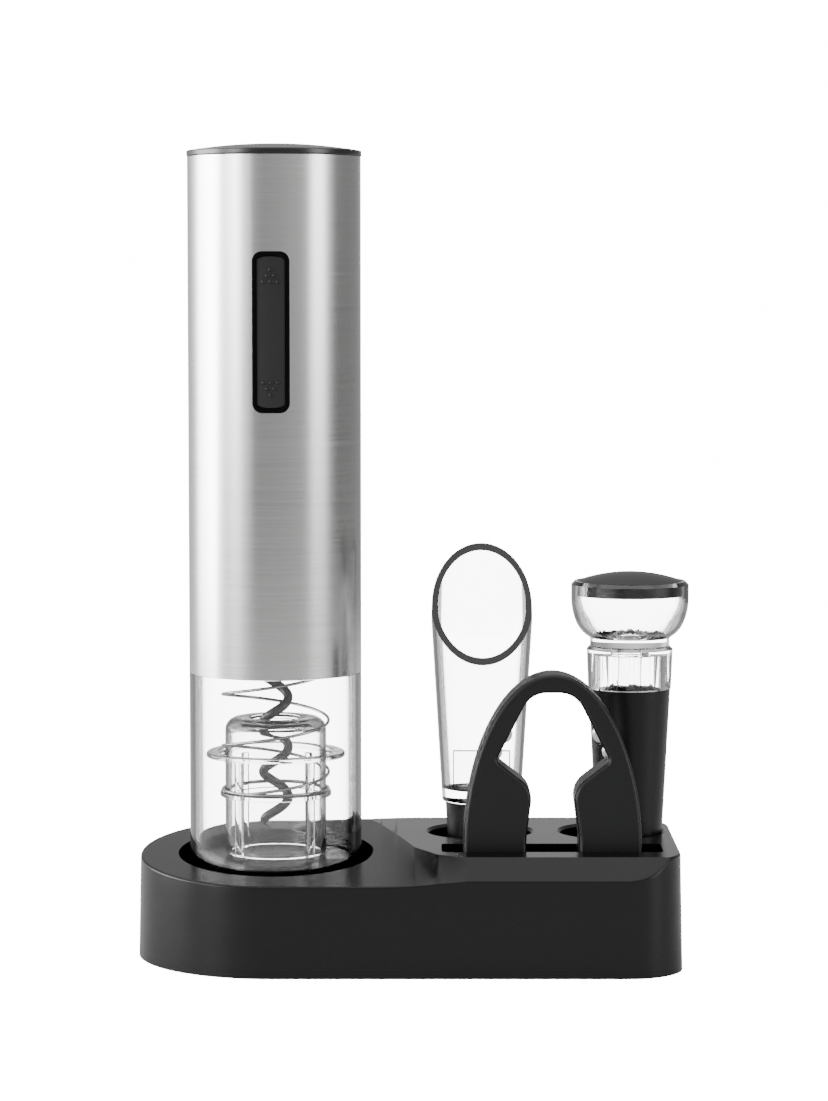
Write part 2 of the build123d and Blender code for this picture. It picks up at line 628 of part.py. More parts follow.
with BuildPart() as cap_contacts:
    with Locations((opener_x - cell_offset, 0, cap_ring_z[0] - 2.2), (opener_x + cell_offset, 0, cap_ring_z[0] - 2.2)):
        Box(10, 26, 0.5, align=(Align.CENTER, Align.CENTER, Align.MAX))
finish(cap_contacts.part, "cap_contacts")

# ---------------------------------------------------------------- bottle guide and spring
guide_inner_r = guide_r - guide_wall
guide_hole_r = 7.6
with BuildPart() as bottle_guide:
    with BuildSketch(half_plane(opener_x, 0)):
        with BuildLine():
            Line((guide_inner_r, guide_bottom_z), (guide_r, guide_bottom_z))
            Line((guide_r, guide_bottom_z), (guide_r, guide_top_z - 5))
            RadiusArc((guide_r, guide_top_z - 5), (guide_r - 5, guide_top_z), -5)
            Line((guide_r - 5, guide_top_z), (guide_hole_r, guide_top_z))
            Line((guide_hole_r, guide_top_z), (guide_hole_r, guide_top_z - 1.6))
            Line((guide_hole_r, guide_top_z - 1.6), (guide_r - 5, guide_top_z - 1.6))
            RadiusArc((guide_r - 5, guide_top_z - 1.6), (guide_inner_r, guide_top_z - 5), 3.6)
            Line((guide_inner_r, guide_top_z - 5), (guide_inner_r, guide_bottom_z))
        make_face()
    revolve(axis=Axis((opener_x, 0, 0), (0, 0, 1)))
    # ledge that the spring stands on
    add(tube(opener_x, 0, spring_mean_r + 0.8, guide_r - 0.5, *ledge_z))
    # sliding ring, joined to the cup by a tab on each side so that the spring can pass
    add(tube(opener_x, 0, flange_r, spring_mean_r + 1.2, *flange_z))
    with Locations((opener_x, 0, flange_z[0])):
        with PolarLocations(spring_mean_r + 0.4, 2):
            Box(3.4, 7, flange_z[1] - flange_z[0], align=(Align.CENTER, Align.CENTER, Align.MIN))
    # ribs inside the skirt
    with Locations((opener_x, 0, guide_bottom_z)):
        with PolarLocations(guide_inner_r - 0.3, 4, start_angle=45):
            Box(1.6, 2.4, flange_z[0] - guide_bottom_z, align=(Align.CENTER, Align.CENTER, Align.MIN))
finish(bottle_guide.part, "bottle_guide")

spring_start = Plane(origin=(opener_x, 0, spring_z[0]), z_dir=(0, 0, 1),
                     x_dir=(cos(radians(-116)), sin(radians(-116)), 0))
with BuildPart() as return_spring:
    with BuildLine(spring_start):
        wire = Helix(pitch=spring_pitch, height=spring_z[1] - spring_z[0], radius=spring_mean_r)
    with BuildSketch(Plane(origin=wire @ 0, z_dir=wire % 0)):
        Circle(spring_wire_r)
    sweep(path=wire, is_frenet=True)
finish(return_spring.part, "return_spring")

# ---------------------------------------------------------------- pourer
def cone_r(z):
    """Outer radius of the clear spout."""
    return 11.6 + (z - 43.1) * 0.061


spout_z = (43.1, 97.0, 118.5)
spout_floor_z = 46.8
spout_wall = 1.8
cut_low_z = 84.7
with BuildPart() as pourer_spout:
    with BuildSketch(half_plane(pourer_x, accessory_y)):
        with BuildLine():
            Polyline((0, spout_z[0]), (cone_r(spout_z[0]), spout_z[0]), (cone_r(spout_z[1]), spout_z[1]),
                     (14.2, spout_z[2]), (14.2 - spout_wall, spout_z[2]),
                     (cone_r(spout_z[1]) - spout_wall, spout_z[1]),
                     (cone_r(spout_floor_z) - spout_wall, spout_floor_z), (0, spout_floor_z), close=True)
        make_face()
    revolve(axis=Axis((pourer_x, accessory_y, 0), (0, 0, 1)))
    # slanted mouth, low at the front
    with BuildSketch(Plane.YZ.offset(pourer_x)):
        front_y = accessory_y - cone_r(cut_low_z)
        back_y = accessory_y + 14.3
        with BuildLine():
            Polyline((front_y - 5, cut_low_z - 5.2), (back_y + 5, spout_z[2] + 5.2),
                     (back_y + 5, 140), (front_y - 5, 140), close=True)
        make_face()
    extrude(amount=30, both=True, mode=Mode.SUBTRACT)
    # air hole and pouring hole through the floor
    with Locations((pourer_x - 5.2, accessory_y, spout_z[0]), (pourer_x + 5.2, accessory_y, spout_z[0])):
        Cylinder(2.4, 20, mode=Mode.SUBTRACT)
finish(pourer_spout.part, "pourer_spout")

with BuildPart() as pourer_divider:
    with Locations((pourer_x, accessory_y, spout_floor_z)):
        Box(17.3, 1.2, 11.2, align=(Align.CENTER, Align.CENTER, Align.MIN))
finish(pourer_divider.part, "pourer_divider")

bung_z = (13.0, 43.1)
with BuildPart() as pourer_bung:
    with BuildSketch(half_plane(pourer_x, accessory_y)):
        with BuildLine():
            Polyline((2.6, bung_z[0]), (8.4, bung_z[0]), (9.0, bung_z[0] + 3), (10.7, bung_z[1]),
                     (2.6, bung_z[1]), close=True)
        make_face()
    revolve(axis=Axis((pourer_x, accessory_y, 0), (0, 0, 1)))
    for step in range(3):
        add(tube(pourer_x, accessory_y, 10.9, 8.0, 16 + 5 * step, 17.2 + 5 * step))
finish(pourer_bung.part, "pourer_bung")

# ---------------------------------------------------------------- vacuum stopper
stopper_axis = Axis((stopper_x, accessory_y, 0), (0, 0, 1))
body_top_z = 76.5
barrel_r = 7.5
barrel_floor_z = 30.0
air_hole_r = 3.0
with BuildPart() as stopper_body:
    with BuildSketch(half_plane(stopper_x, accessory_y)):
        with BuildLine():
            Polyline((air_hole_r, 10.0), (8.0, 10.0), (8.6, 14.0), (9.8, deck_z), (12.0, body_top_z),
                     (barrel_r, body_top_z), (barrel_r, barrel_floor_z), (air_hole_r, barrel_floor_z - 1.5),
                     close=True)
        make_face()
    revolve(axis=stopper_axis)
finish(stopper_body.part, "stopper_body")

collar_z = (body_top_z + 0.1, 89.0)
collar_r = (12.2, 12.7)
collar_wall = 3.0
rod_r = 3.4
flute_count = 12
flute_r = 2.6
flute_orbit = 14.6
with BuildPart() as stopper_collar:
    with BuildSketch(half_plane(stopper_x, accessory_y)):
        with BuildLine():
            Polyline((collar_r[0] - collar_wall, collar_z[0]), (collar_r[0], collar_z[0]),
                     (collar_r[1], collar_z[1] - 0.8), (collar_r[1] - 0.7, collar_z[1]), (rod_r + 0.4, collar_z[1]),
                     (rod_r + 0.4, collar_z[1] - 2.4), (collar_r[0] - collar_wall, collar_z[1] - 2.4), close=True)
        make_face()
    revolve(axis=stopper_axis)
    with Locations((stopper_x, accessory_y, collar_z[0] + 1.2)):
        with PolarLocations(flute_orbit, flute_count):
            Cylinder(flute_r, collar_z[1] - collar_z[0] - 2.8, align=(Align.CENTER, Align.CENTER, Align.MIN),
                     mode=Mode.SUBTRACT)
finish(stopper_collar.part, "stopper_collar")

valve_z = (22.0, 28.4, 31.2)
with BuildPart() as stopper_valve:
    with BuildSketch(half_plane(stopper_x, accessory_y)):
        with BuildLine():
            Polyline((0, valve_z[0]), (1.6, valve_z[0]), (air_hole_r - 0.05, valve_z[0] + 3),
                     (air_hole_r - 0.05, valve_z[1]), (5.4, valve_z[1] + 1.7), (5.4, valve_z[2]), (0, valve_z[2]),
                     close=True)
        make_face()
    revolve(axis=stopper_axis)
finish(stopper_valve.part, "stopper_valve")

bowl_z = (89.4, 91.6, 104.2)
bowl_r = 17.3
bowl_wall = 1.8
bowl_rim_z = 108.3
bowl_floor_z = 92.2
neck_r = 11.7
floor_ring_r = (3.6, 5.0)
with BuildPart() as pump_bowl:
    with BuildSketch(half_plane(stopper_x, accessory_y)):
        with BuildLine():
            Line((0, bowl_z[0]), (neck_r, bowl_z[0]))
            Line((neck_r, bowl_z[0]), (neck_r, bowl_z[1]))
            Spline((neck_r, bowl_z[1]), (15.6, 95.6), (17.0, 100.0), (bowl_r, bowl_z[2]),
                   tangents=[(0.9, 0.5), (0, 1)])
            Line((bowl_r, bowl_z[2]), (bowl_r, bowl_rim_z - 1.0))
            Line((bowl_r, bowl_rim_z - 1.0), (bowl_r - 1.0, bowl_rim_z))
            Line((bowl_r - 1.0, bowl_rim_z), (bowl_r - bowl_wall, bowl_rim_z))
            Line((bowl_r - bowl_wall, bowl_rim_z), (bowl_r - bowl_wall, bowl_z[2]))
            Spline((bowl_r - bowl_wall, bowl_z[2]), (15.1, 100.2), (13.6, 96.6), (9.4, bowl_floor_z),
                   tangents=[(0, -1), (-0.9, -0.5)])
            Line((9.4, bowl_floor_z), (floor_ring_r[1], bowl_floor_z))
            Line((floor_ring_r[1], bowl_floor_z), (floor_ring_r[1], bowl_floor_z + 0.7))
            Line((floor_ring_r[1], bowl_floor_z + 0.7), (floor_ring_r[0], bowl_floor_z + 0.7))
            Line((floor_ring_r[0], bowl_floor_z + 0.7), (floor_ring_r[0], bowl_floor_z))
            Line((floor_ring_r[0], bowl_floor_z), (0, bowl_floor_z))
            Line((0, bowl_floor_z), (0, bowl_z[0]))
        make_face()
    revolve(axis=stopper_axis)
finish(pump_bowl.part, "pump_bowl")

lid_r = bowl_r - bowl_wall - 0.05
lid_apex_z = 111.0
lid_edge_z = bowl_rim_z
lid_sphere_r = (lid_r ** 2 + (lid_apex_z - lid_edge_z) ** 2) / (2 * (lid_apex_z - lid_edge_z))


def lid_arc_z(radius):
    """Height of the lid's domed top at a radius."""
    return lid_apex_z - lid_sphere_r + sqrt(lid_sphere_r ** 2 - radius ** 2)


with BuildPart() as pump_lid:
    with BuildSketch(half_plane(stopper_x, accessory_y)):
        with BuildLine():
            Line((0, bowl_z[2]), (lid_r, bowl_z[2]))
            Line((lid_r, bowl_z[2]), (lid_r, lid_edge_z))
            ThreePointArc((lid_r, lid_edge_z), (lid_r / 2, lid_arc_z(lid_r / 2)), (0, lid_apex_z))
            Line((0, lid_apex_z), (0, bowl_z[2]))
        make_face()
    revolve(axis=stopper_axis)
finish(pump_lid.part, "pump_lid")

piston_z = (52.0, 56.0)
piston_r = barrel_r - 0.3
seal_z = (53.2, 54.8)
seal_groove_r = 6.0
with BuildPart() as pump_rod:
    with Locations(at_axis(stopper_x, accessory_y, piston_z[0])):
        Cylinder(rod_r, bowl_z[0] - 0.02 - piston_z[0], align=(Align.CENTER, Align.CENTER, Align.MIN))
        Cylinder(piston_r, piston_z[1] - piston_z[0], align=(Align.CENTER, Align.CENTER, Align.MIN))
    add(tube(stopper_x, accessory_y, piston_r + 1, seal_groove_r, seal_z[0], seal_z[1]), mode=Mode.SUBTRACT)
finish(pump_rod.part, "pump_rod")

with BuildPart() as piston_seal:
    add(tube(stopper_x, accessory_y, barrel_r - 0.05, seal_groove_r + 0.02, seal_z[0] + 0.05, seal_z[1] - 0.05))
finish(piston_seal.part, "piston_seal")

# ---------------------------------------------------------------- foil cutter
cutter_y = (slot_y[0] + 0.4, slot_y[0] + 0.4 + cutter_thick)
arch_a = 25.5
arch_b = 50.7
leg_low_z = slot_floor_z + 0.4
# right half of the opening: x from the middle, height, corner radius
opening = [(7.5, 12.0, 0), (7.5, 38.0, 12.0), (5.7, 51.9, 7.0), (16.2, 60.0, 1.8), (6.3, 79.4, 7.4)]
edge_r = 1.3
disc_r = 2.7
disc_thick = 0.8
disc_spots = [(16.95, 61.9), (14.1, 67.0)]
disc_y = (cutter_y[0] + cutter_y[1]) / 2
axle_r = 0.6
cutter_front = Plane(origin=(cutter_x, cutter_y[0], 0), x_dir=(1, 0, 0), z_dir=(0, -1, 0))


def across_y(x, y, z):
    """Location whose own Z axis points along +Y."""
    return Location((x, y, z), (-90, 0, 0))


with BuildPart() as cutter_frame:
    with BuildSketch(cutter_front):
        with BuildLine():
            EllipticalCenterArc((0, deck_z), arch_a, arch_b, 0, arc_size=180)
            Polyline((-arch_a, deck_z), (-arch_a, leg_low_z), (arch_a, leg_low_z), (arch_a, deck_z))
        make_face()
    extrude(amount=-cutter_thick)
    with BuildSketch(cutter_front) as gap:
        Polygon(*[(x, z) for x, z, _ in opening], *[(-x, z) for x, z, _ in reversed(opening)], align=None)
        for x, z, radius in opening[1:]:
            corners = gap.vertices().filter_by(lambda spot: abs(abs(spot.X) - x) + abs(spot.Y - z) < 0.01)
            fillet(corners, radius)
    extrude(amount=-cutter_thick, mode=Mode.SUBTRACT)
    broad_faces = cutter_frame.faces().filter_by(Axis.Y)
    fillet(broad_faces.edges().filter_by(lambda edge: edge.center().Z > leg_low_z + 2), edge_r)
    for side in (1, -1):
        for x, z in disc_spots:
            with Locations(across_y(cutter_x + side * x, disc_y, z)):
                Cylinder(disc_r + 0.4, disc_thick + 0.7, mode=Mode.SUBTRACT)
                Cylinder(axle_r, 9, mode=Mode.SUBTRACT)
finish(cutter_frame.part, "cutter_frame")

with BuildPart() as cutter_axles:
    for side in (1, -1):
        for x, z in disc_spots:
            with Locations(across_y(cutter_x + side * x, disc_y, z)):
                Cylinder(axle_r, 9)
finish(cutter_axles.part, "cutter_axles")

cutter_places = [(side * x, z) for side in (-1, 1) for x, z in disc_spots]
for number, (x, z) in enumerate(cutter_places, start=1):
    with BuildPart() as cutter_disc:
        with Locations(across_y(cutter_x + x, disc_y, z)):
            Cylinder(disc_r, disc_thick)
        chamfer(cutter_disc.edges().filter_by(GeomType.CIRCLE), 0.39, 0.9)
        with Locations(across_y(cutter_x + x, disc_y, z)):
            Cylinder(axle_r + run_gap, 9, mode=Mode.SUBTRACT)
    finish(cutter_disc.part, f"cutter_disc_{number}")
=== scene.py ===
import bpy, bmesh, math
from mathutils import Matrix, Vector


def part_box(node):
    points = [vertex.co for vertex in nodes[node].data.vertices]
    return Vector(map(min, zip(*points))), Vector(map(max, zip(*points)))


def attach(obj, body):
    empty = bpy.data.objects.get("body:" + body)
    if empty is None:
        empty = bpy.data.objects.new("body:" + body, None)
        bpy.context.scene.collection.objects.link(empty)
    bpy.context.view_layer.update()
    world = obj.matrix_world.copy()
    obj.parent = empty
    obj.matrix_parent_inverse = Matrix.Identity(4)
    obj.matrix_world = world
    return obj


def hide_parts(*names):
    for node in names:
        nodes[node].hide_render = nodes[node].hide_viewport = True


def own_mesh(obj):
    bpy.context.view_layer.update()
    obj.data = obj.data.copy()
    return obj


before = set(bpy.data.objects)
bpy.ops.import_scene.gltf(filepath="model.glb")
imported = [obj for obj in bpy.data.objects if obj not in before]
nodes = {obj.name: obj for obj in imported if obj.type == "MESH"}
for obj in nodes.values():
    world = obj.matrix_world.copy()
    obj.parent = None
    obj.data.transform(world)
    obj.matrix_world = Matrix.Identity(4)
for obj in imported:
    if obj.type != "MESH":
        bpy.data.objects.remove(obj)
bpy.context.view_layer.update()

mm = 0.001

# ------------------------------------------------------------------ camera, floor and light
# A pale table top under a light tent: a bright side panel on the left, a slim strip on the right
# and a softbox overhead.  The camera stands a metre off, nearly level with the sleeve's top.
camera_data = bpy.data.cameras.new("camera")
camera_data.lens = 111.9
camera_data.sensor_width = 36.0
camera = bpy.data.objects.new("camera", camera_data)
camera_dip = math.radians(4.49)
camera.location = (-0.3 * mm, -0.990, 0.196)
camera.rotation_euler = (math.pi / 2 - camera_dip, 0, 0)
bpy.context.scene.collection.objects.link(camera)
bpy.context.scene.camera = camera


def new_material(name):
    """An empty material with its node tree, output and Principled shader."""
    material = bpy.data.materials.new(name)
    material.use_nodes = True
    tree = material.node_tree
    return material, tree, tree.nodes["Principled BSDF"]


def link(tree, source, target):
    tree.links.new(source, target)


def straight_from_the_eye(tree):
    """One for a ray that has met nothing but clear plastic since the eye, nought for the rest."""
    path = tree.nodes.new("ShaderNodeLightPath")
    bounces = tree.nodes.new("ShaderNodeMath")
    bounces.operation = "ADD"
    none = tree.nodes.new("ShaderNodeMath")
    none.operation = "LESS_THAN"
    none.inputs[1].default_value = 0.5
    link(tree, path.outputs["Glossy Depth"], bounces.inputs[0])
    link(tree, path.outputs["Diffuse Depth"], bounces.inputs[1])
    link(tree, bounces.outputs[0], none.inputs[0])
    kind = tree.nodes.new("ShaderNodeMath")
    kind.operation = "MAXIMUM"
    link(tree, path.outputs["Is Camera Ray"], kind.inputs[0])
    link(tree, path.outputs["Is Transmission Ray"], kind.inputs[1])
    both = tree.nodes.new("ShaderNodeMath")
    both.operation = "MULTIPLY"
    link(tree, none.outputs[0], both.inputs[0])
    link(tree, kind.outputs[0], both.inputs[1])
    return both.outputs[0]


paper_white = 16.0
table_glow = 0.22


def floor_material():
    """White table top, burnt out to the eye as a lit sweep is, and dim in reflections."""
    material, tree, shader = new_material("white_table")
    shader.inputs["Base Color"].default_value = (0.5, 0.5, 0.5, 1)
    shader.inputs["Roughness"].default_value = 0.9
    shader.inputs["Specular IOR Level"].default_value = 0.0
    shader.inputs["Emission Color"].default_value = (1, 1, 1, 1)
    glow = tree.nodes.new("ShaderNodeMapRange")
    glow.inputs["To Min"].default_value = table_glow
    glow.inputs["To Max"].default_value = paper_white
    link(tree, straight_from_the_eye(tree), glow.inputs["Value"])
    link(tree, glow.outputs["Result"], shader.inputs["Emission Strength"])
    return material


table_r = 0.9
table_drop = 0.2 * mm
bpy.ops.mesh.primitive_circle_add(vertices=96, radius=table_r, fill_type="NGON", location=(0, 0, -table_drop))
table = bpy.context.object
table.name = "table"
table.data.materials.append(floor_material())

world = bpy.data.worlds.new("light_tent")
bpy.context.scene.world = world
world.use_nodes = True
sky = world.node_tree
background = sky.nodes["Background"]
gain = 30.0


def panel_ramp(panels, bearing):
    """Brightness round the tent: panels lists (bearing in degrees, level), 0 towards the user."""
    ramp = sky.nodes.new("ShaderNodeValToRGB")
    ramp.color_ramp.interpolation = "EASE"
    while len(ramp.color_ramp.elements) < len(panels):
        ramp.color_ramp.elements.new(0.5)
    for element, (angle, level) in zip(ramp.color_ramp.elements, panels):
        element.position = (angle + 180) / 360
    for element, (angle, level) in zip(ramp.color_ramp.elements, panels):
        element.color = (level / gain, level / gain, level / gain, 1)
    link(sky, bearing, ramp.inputs["Fac"])
    return ramp.outputs["Color"]


def blended(factor, first, second):
    """Mixes two colours, or a colour and a level, by a factor."""
    mix = sky.nodes.new("ShaderNodeMix")
    mix.data_type = "RGBA"
    link(sky, factor, mix.inputs["Factor"])
    for socket, value in ((mix.inputs["A"], first), (mix.inputs["B"], second)):
        if isinstance(value, float):
            socket.default_value = (value / gain, value / gain, value / gain, 1)
        else:
            link(sky, value, socket)
    return mix.outputs["Result"]


def rising(height, start, end, power=1.0):
    """Nought below the start elevation and one above the end, in degrees."""
    span = sky.nodes.new("ShaderNodeMapRange")
    span.inputs["From Min"].default_value = math.sin(math.radians(start))
    span.inputs["From Max"].default_value = math.sin(math.radians(end))
    bend = sky.nodes.new("ShaderNodeMath")
    bend.operation = "POWER"
    bend.inputs[1].default_value = power
    link(sky, height, span.inputs["Value"])
    link(sky, span.outputs["Result"], bend.inputs[0])
    return bend.outputs[0]


coords = sky.nodes.new("ShaderNodeTexCoord")
split = sky.nodes.new("ShaderNodeSeparateXYZ")
bearing = sky.nodes.new("ShaderNodeMath")
bearing.operation = "ARCTAN2"
flip = sky.nodes.new("ShaderNodeMath")
flip.operation = "MULTIPLY"
flip.inputs[1].default_value = -1
turn = sky.nodes.new("ShaderNodeMapRange")
turn.inputs["From Min"].default_value = -math.pi
turn.inputs["From Max"].default_value = math.pi
link(sky, coords.outputs["Generated"], split.inputs[0])
link(sky, split.outputs["Y"], flip.inputs[0])
link(sky, split.outputs["X"], bearing.inputs[0])
link(sky, flip.outputs[0], bearing.inputs[1])
link(sky, bearing.outputs[0], turn.inputs["Value"])
level_panels = panel_ramp([
    (-180, 1.0), (-160, 0.8), (-150, 0.7), (-130, 2.2), (-108, 22), (-85, 28), (-68, 7), (-50, 20),
    (-38, 4), (-28, 0.8), (-10, 0.5), (5, 0.62), (30, 0.8), (46, 1.0), (58, 11), (68, 11), (78, 1.6),
    (92, 0.35), (125, 0.33), (150, 0.4), (165, 0.8), (180, 1.0)], turn.outputs["Result"])
low_panels = panel_ramp([
    (-180, 0.45), (-150, 0.8), (-128, 1.0), (-108, 12), (-88, 22), (-74, 1.4), (-60, 0.8), (-40, 0.55),
    (-30, 0.3), (-22, 0.2), (-8, 0.34), (20, 0.36), (60, 0.5), (76, 0.42), (84, 0.10), (96, 0.14),
    (112, 0.24), (150, 0.35), (180, 0.45)], turn.outputs["Result"])
high_panels = panel_ramp([
    (-180, 0.55), (-150, 0.45), (-140, 0.3), (-120, 3.0), (-60, 3.0), (-35, 0.6), (35, 0.6),
    (55, 2.0), (75, 2.0), (95, 0.3), (150, 0.4), (180, 0.55)], turn.outputs["Result"])
level_share = rising(split.outputs["Z"], -7, 2, 3.0)
high_share = rising(split.outputs["Z"], 4, 14)
top_share = rising(split.outputs["Z"], 35, 60)
tent = blended(high_share, blended(level_share, low_panels, level_panels), high_panels)
roof_level = 1.2
tent = blended(top_share, tent, roof_level)
tent = blended(straight_from_the_eye(sky), tent, paper_white)
link(sky, tent, background.inputs["Color"])
background.inputs["Strength"].default_value = gain


def softbox(name, place, aim, width, height, watts):
    """A rectangular soft light that faces a point."""
    data = bpy.data.lights.new(name, "AREA")
    data.shape = "RECTANGLE"
    data.size = width
    data.size_y = height
    data.energy = watts
    lamp = bpy.data.objects.new(name, data)
    lamp.location = place
    lamp.rotation_euler = (Vector(aim) - Vector(place)).to_track_quat("-Z", "Y").to_euler()
    bpy.context.scene.collection.objects.link(lamp)


softbox("overhead_softbox", (0, 0.1, 1.3), (0, 0, 0.05), 1.2, 1.2, 4)

# ------------------------------------------------------------------ stand
# The stand is one injection-moulded shell in charcoal plastic with a fine satin texture.  A bottom
# plate is let into it and screwed on, and rubber feet are glued into pockets in the plate.


def smooth_tree():
    """Geometry nodes that join a CAD skin's triangles and smooth it, except over its real edges."""
    tree = bpy.data.node_groups.new("Smooth Skin", "GeometryNodeTree")
    tree.interface.new_socket("Geometry", in_out="INPUT", socket_type="NodeSocketGeometry")
    angle = tree.interface.new_socket("Edge Angle", in_out="INPUT", socket_type="NodeSocketFloat")
    angle.default_value = math.radians(32)
    tree.interface.new_socket("Geometry", in_out="OUTPUT", socket_type="NodeSocketGeometry")
    start = tree.nodes.new("NodeGroupInput")
    end = tree.nodes.new("NodeGroupOutput")
    merge = tree.nodes.new("GeometryNodeMergeByDistance")
    merge.inputs["Distance"].default_value = 2e-6
    faces = tree.nodes.new("GeometryNodeSetShadeSmooth")
    edges = tree.nodes.new("GeometryNodeSetShadeSmooth")
    edges.domain = "EDGE"
    fold = tree.nodes.new("GeometryNodeInputMeshEdgeAngle")
    flat = tree.nodes.new("FunctionNodeCompare")
    flat.operation = "LESS_THAN"
    link(tree, start.outputs["Geometry"], merge.inputs["Geometry"])
    link(tree, merge.outputs["Geometry"], faces.inputs["Geometry"])
    link(tree, faces.outputs["Geometry"], edges.inputs["Geometry"])
    link(tree, fold.outputs["Unsigned Angle"], flat.inputs["A"])
    link(tree, start.outputs["Edge Angle"], flat.inputs["B"])
    link(tree, flat.outputs["Result"], edges.inputs["Shade Smooth"])
    link(tree, edges.outputs["Geometry"], end.inputs["Geometry"])
    return tree


smooth_skin = smooth_tree()


def even_normals(piece):
    """Lets the large faces set the shading, so a rounded lip doesn't bend the wall beside it."""
    weigh = piece.modifiers.new("weigh", "WEIGHTED_NORMAL")
    weigh.keep_sharp = True
    weigh.weight = 90


def dress(node, material):
    """Smooths a CAD node's skin and gives it its real finish."""
    piece = nodes[node]
    piece.modifiers.new("smooth", "NODES").node_group = smooth_skin
    even_normals(piece)
    piece.data.materials.clear()
    piece.data.materials.append(material)


def moulded_group():
    """Shader group: the fine spark texture and slight unevenness of moulded plastic."""
    group = bpy.data.node_groups.new("Moulded Surface", "ShaderNodeTree")
    group.interface.new_socket("Colour", in_out="INPUT", socket_type="NodeSocketColor")
    for name in ("Grain Size", "Grain Depth", "Roughness", "Unevenness"):
        group.interface.new_socket(name, in_out="INPUT", socket_type="NodeSocketFloat")
    group.interface.new_socket("Colour", in_out="OUTPUT", socket_type="NodeSocketColor")
    group.interface.new_socket("Roughness", in_out="OUTPUT", socket_type="NodeSocketFloat")
    group.interface.new_socket("Normal", in_out="OUTPUT", socket_type="NodeSocketVector")
    start = group.nodes.new("NodeGroupInput")
    end = group.nodes.new("NodeGroupOutput")
    place = group.nodes.new("ShaderNodeTexCoord")
    grain = group.nodes.new("ShaderNodeTexNoise")
    grain.inputs["Detail"].default_value = 2
    patch = group.nodes.new("ShaderNodeTexNoise")
    patch.inputs["Scale"].default_value = 35
    patch.inputs["Detail"].default_value = 4
    bump = group.nodes.new("ShaderNodeBump")
    bump.inputs["Distance"].default_value = 0.00006
    spread = group.nodes.new("ShaderNodeMath")
    spread.operation = "MULTIPLY_ADD"
    centre = group.nodes.new("ShaderNodeMath")
    centre.operation = "SUBTRACT"
    centre.inputs[1].default_value = 0.5
    tint = group.nodes.new("ShaderNodeMix")
    tint.data_type = "RGBA"
    tint.blend_type = "MULTIPLY"
    shade = group.nodes.new("ShaderNodeMapRange")
    shade.inputs["To Min"].default_value = 0.86
    shade.inputs["To Max"].default_value = 1.14
    tint.inputs["Factor"].default_value = 1.0
    link(group, place.outputs["Object"], grain.inputs["Vector"])
    link(group, place.outputs["Object"], patch.inputs["Vector"])
    link(group, start.outputs["Grain Size"], grain.inputs["Scale"])
    link(group, start.outputs["Grain Depth"], bump.inputs["Strength"])
    link(group, grain.outputs["Fac"], bump.inputs["Height"])
    link(group, patch.outputs["Fac"], centre.inputs[0])
    link(group, centre.outputs[0], spread.inputs[0])
    link(group, start.outputs["Unevenness"], spread.inputs[1])
    link(group, start.outputs["Roughness"], spread.inputs[2])
    link(group, patch.outputs["Fac"], shade.inputs["Value"])
    link(group, start.outputs["Colour"], tint.inputs["A"])
    link(group, shade.outputs["Result"], tint.inputs["B"])
    link(group, tint.outputs["Result"], end.inputs["Colour"])
    link(group, spread.outputs[0], end.inputs["Roughness"])
    link(group, bump.outputs["Normal"], end.inputs["Normal"])
    return group


moulded = moulded_group()


def plastic(name, colour, roughness, grain_size=4000.0, grain_depth=0.15, unevenness=0.06, coat=0.0,
            gloss=0.5):
    """A moulded plastic or rubber: its colour, gloss and grain."""
    material, tree, shader = new_material(name)
    skin = tree.nodes.new("ShaderNodeGroup")
    skin.node_tree = moulded
    skin.inputs["Colour"].default_value = (*colour, 1)
    skin.inputs["Roughness"].default_value = roughness
    skin.inputs["Grain Size"].default_value = grain_size
    skin.inputs["Grain Depth"].default_value = grain_depth
    skin.inputs["Unevenness"].default_value = unevenness
    shader.inputs["Specular IOR Level"].default_value = gloss
    shader.inputs["Coat Weight"].default_value = coat
    shader.inputs["Coat Roughness"].default_value = 0.08
    link(tree, skin.outputs["Colour"], shader.inputs["Base Color"])
    link(tree, skin.outputs["Roughness"], shader.inputs["Roughness"])
    link(tree, skin.outputs["Normal"], shader.inputs["Normal"])
    return material


charcoal = plastic("charcoal_shell", (0.0020, 0.0020, 0.0021), 0.25, grain_size=5200,
                   grain_depth=0.08, gloss=0.32)
black_plate = plastic("black_plate", (0.006, 0.006, 0.006), 0.5, grain_size=2600, grain_depth=0.4)
foot_rubber = plastic("foot_rubber", (0.005, 0.005, 0.005), 0.75, grain_size=1800, grain_depth=0.5)
dress("stand_shell", charcoal)
dress("stand_wells", charcoal)
dress("base_plate", black_plate)
dress("stand_feet", foot_rubber)


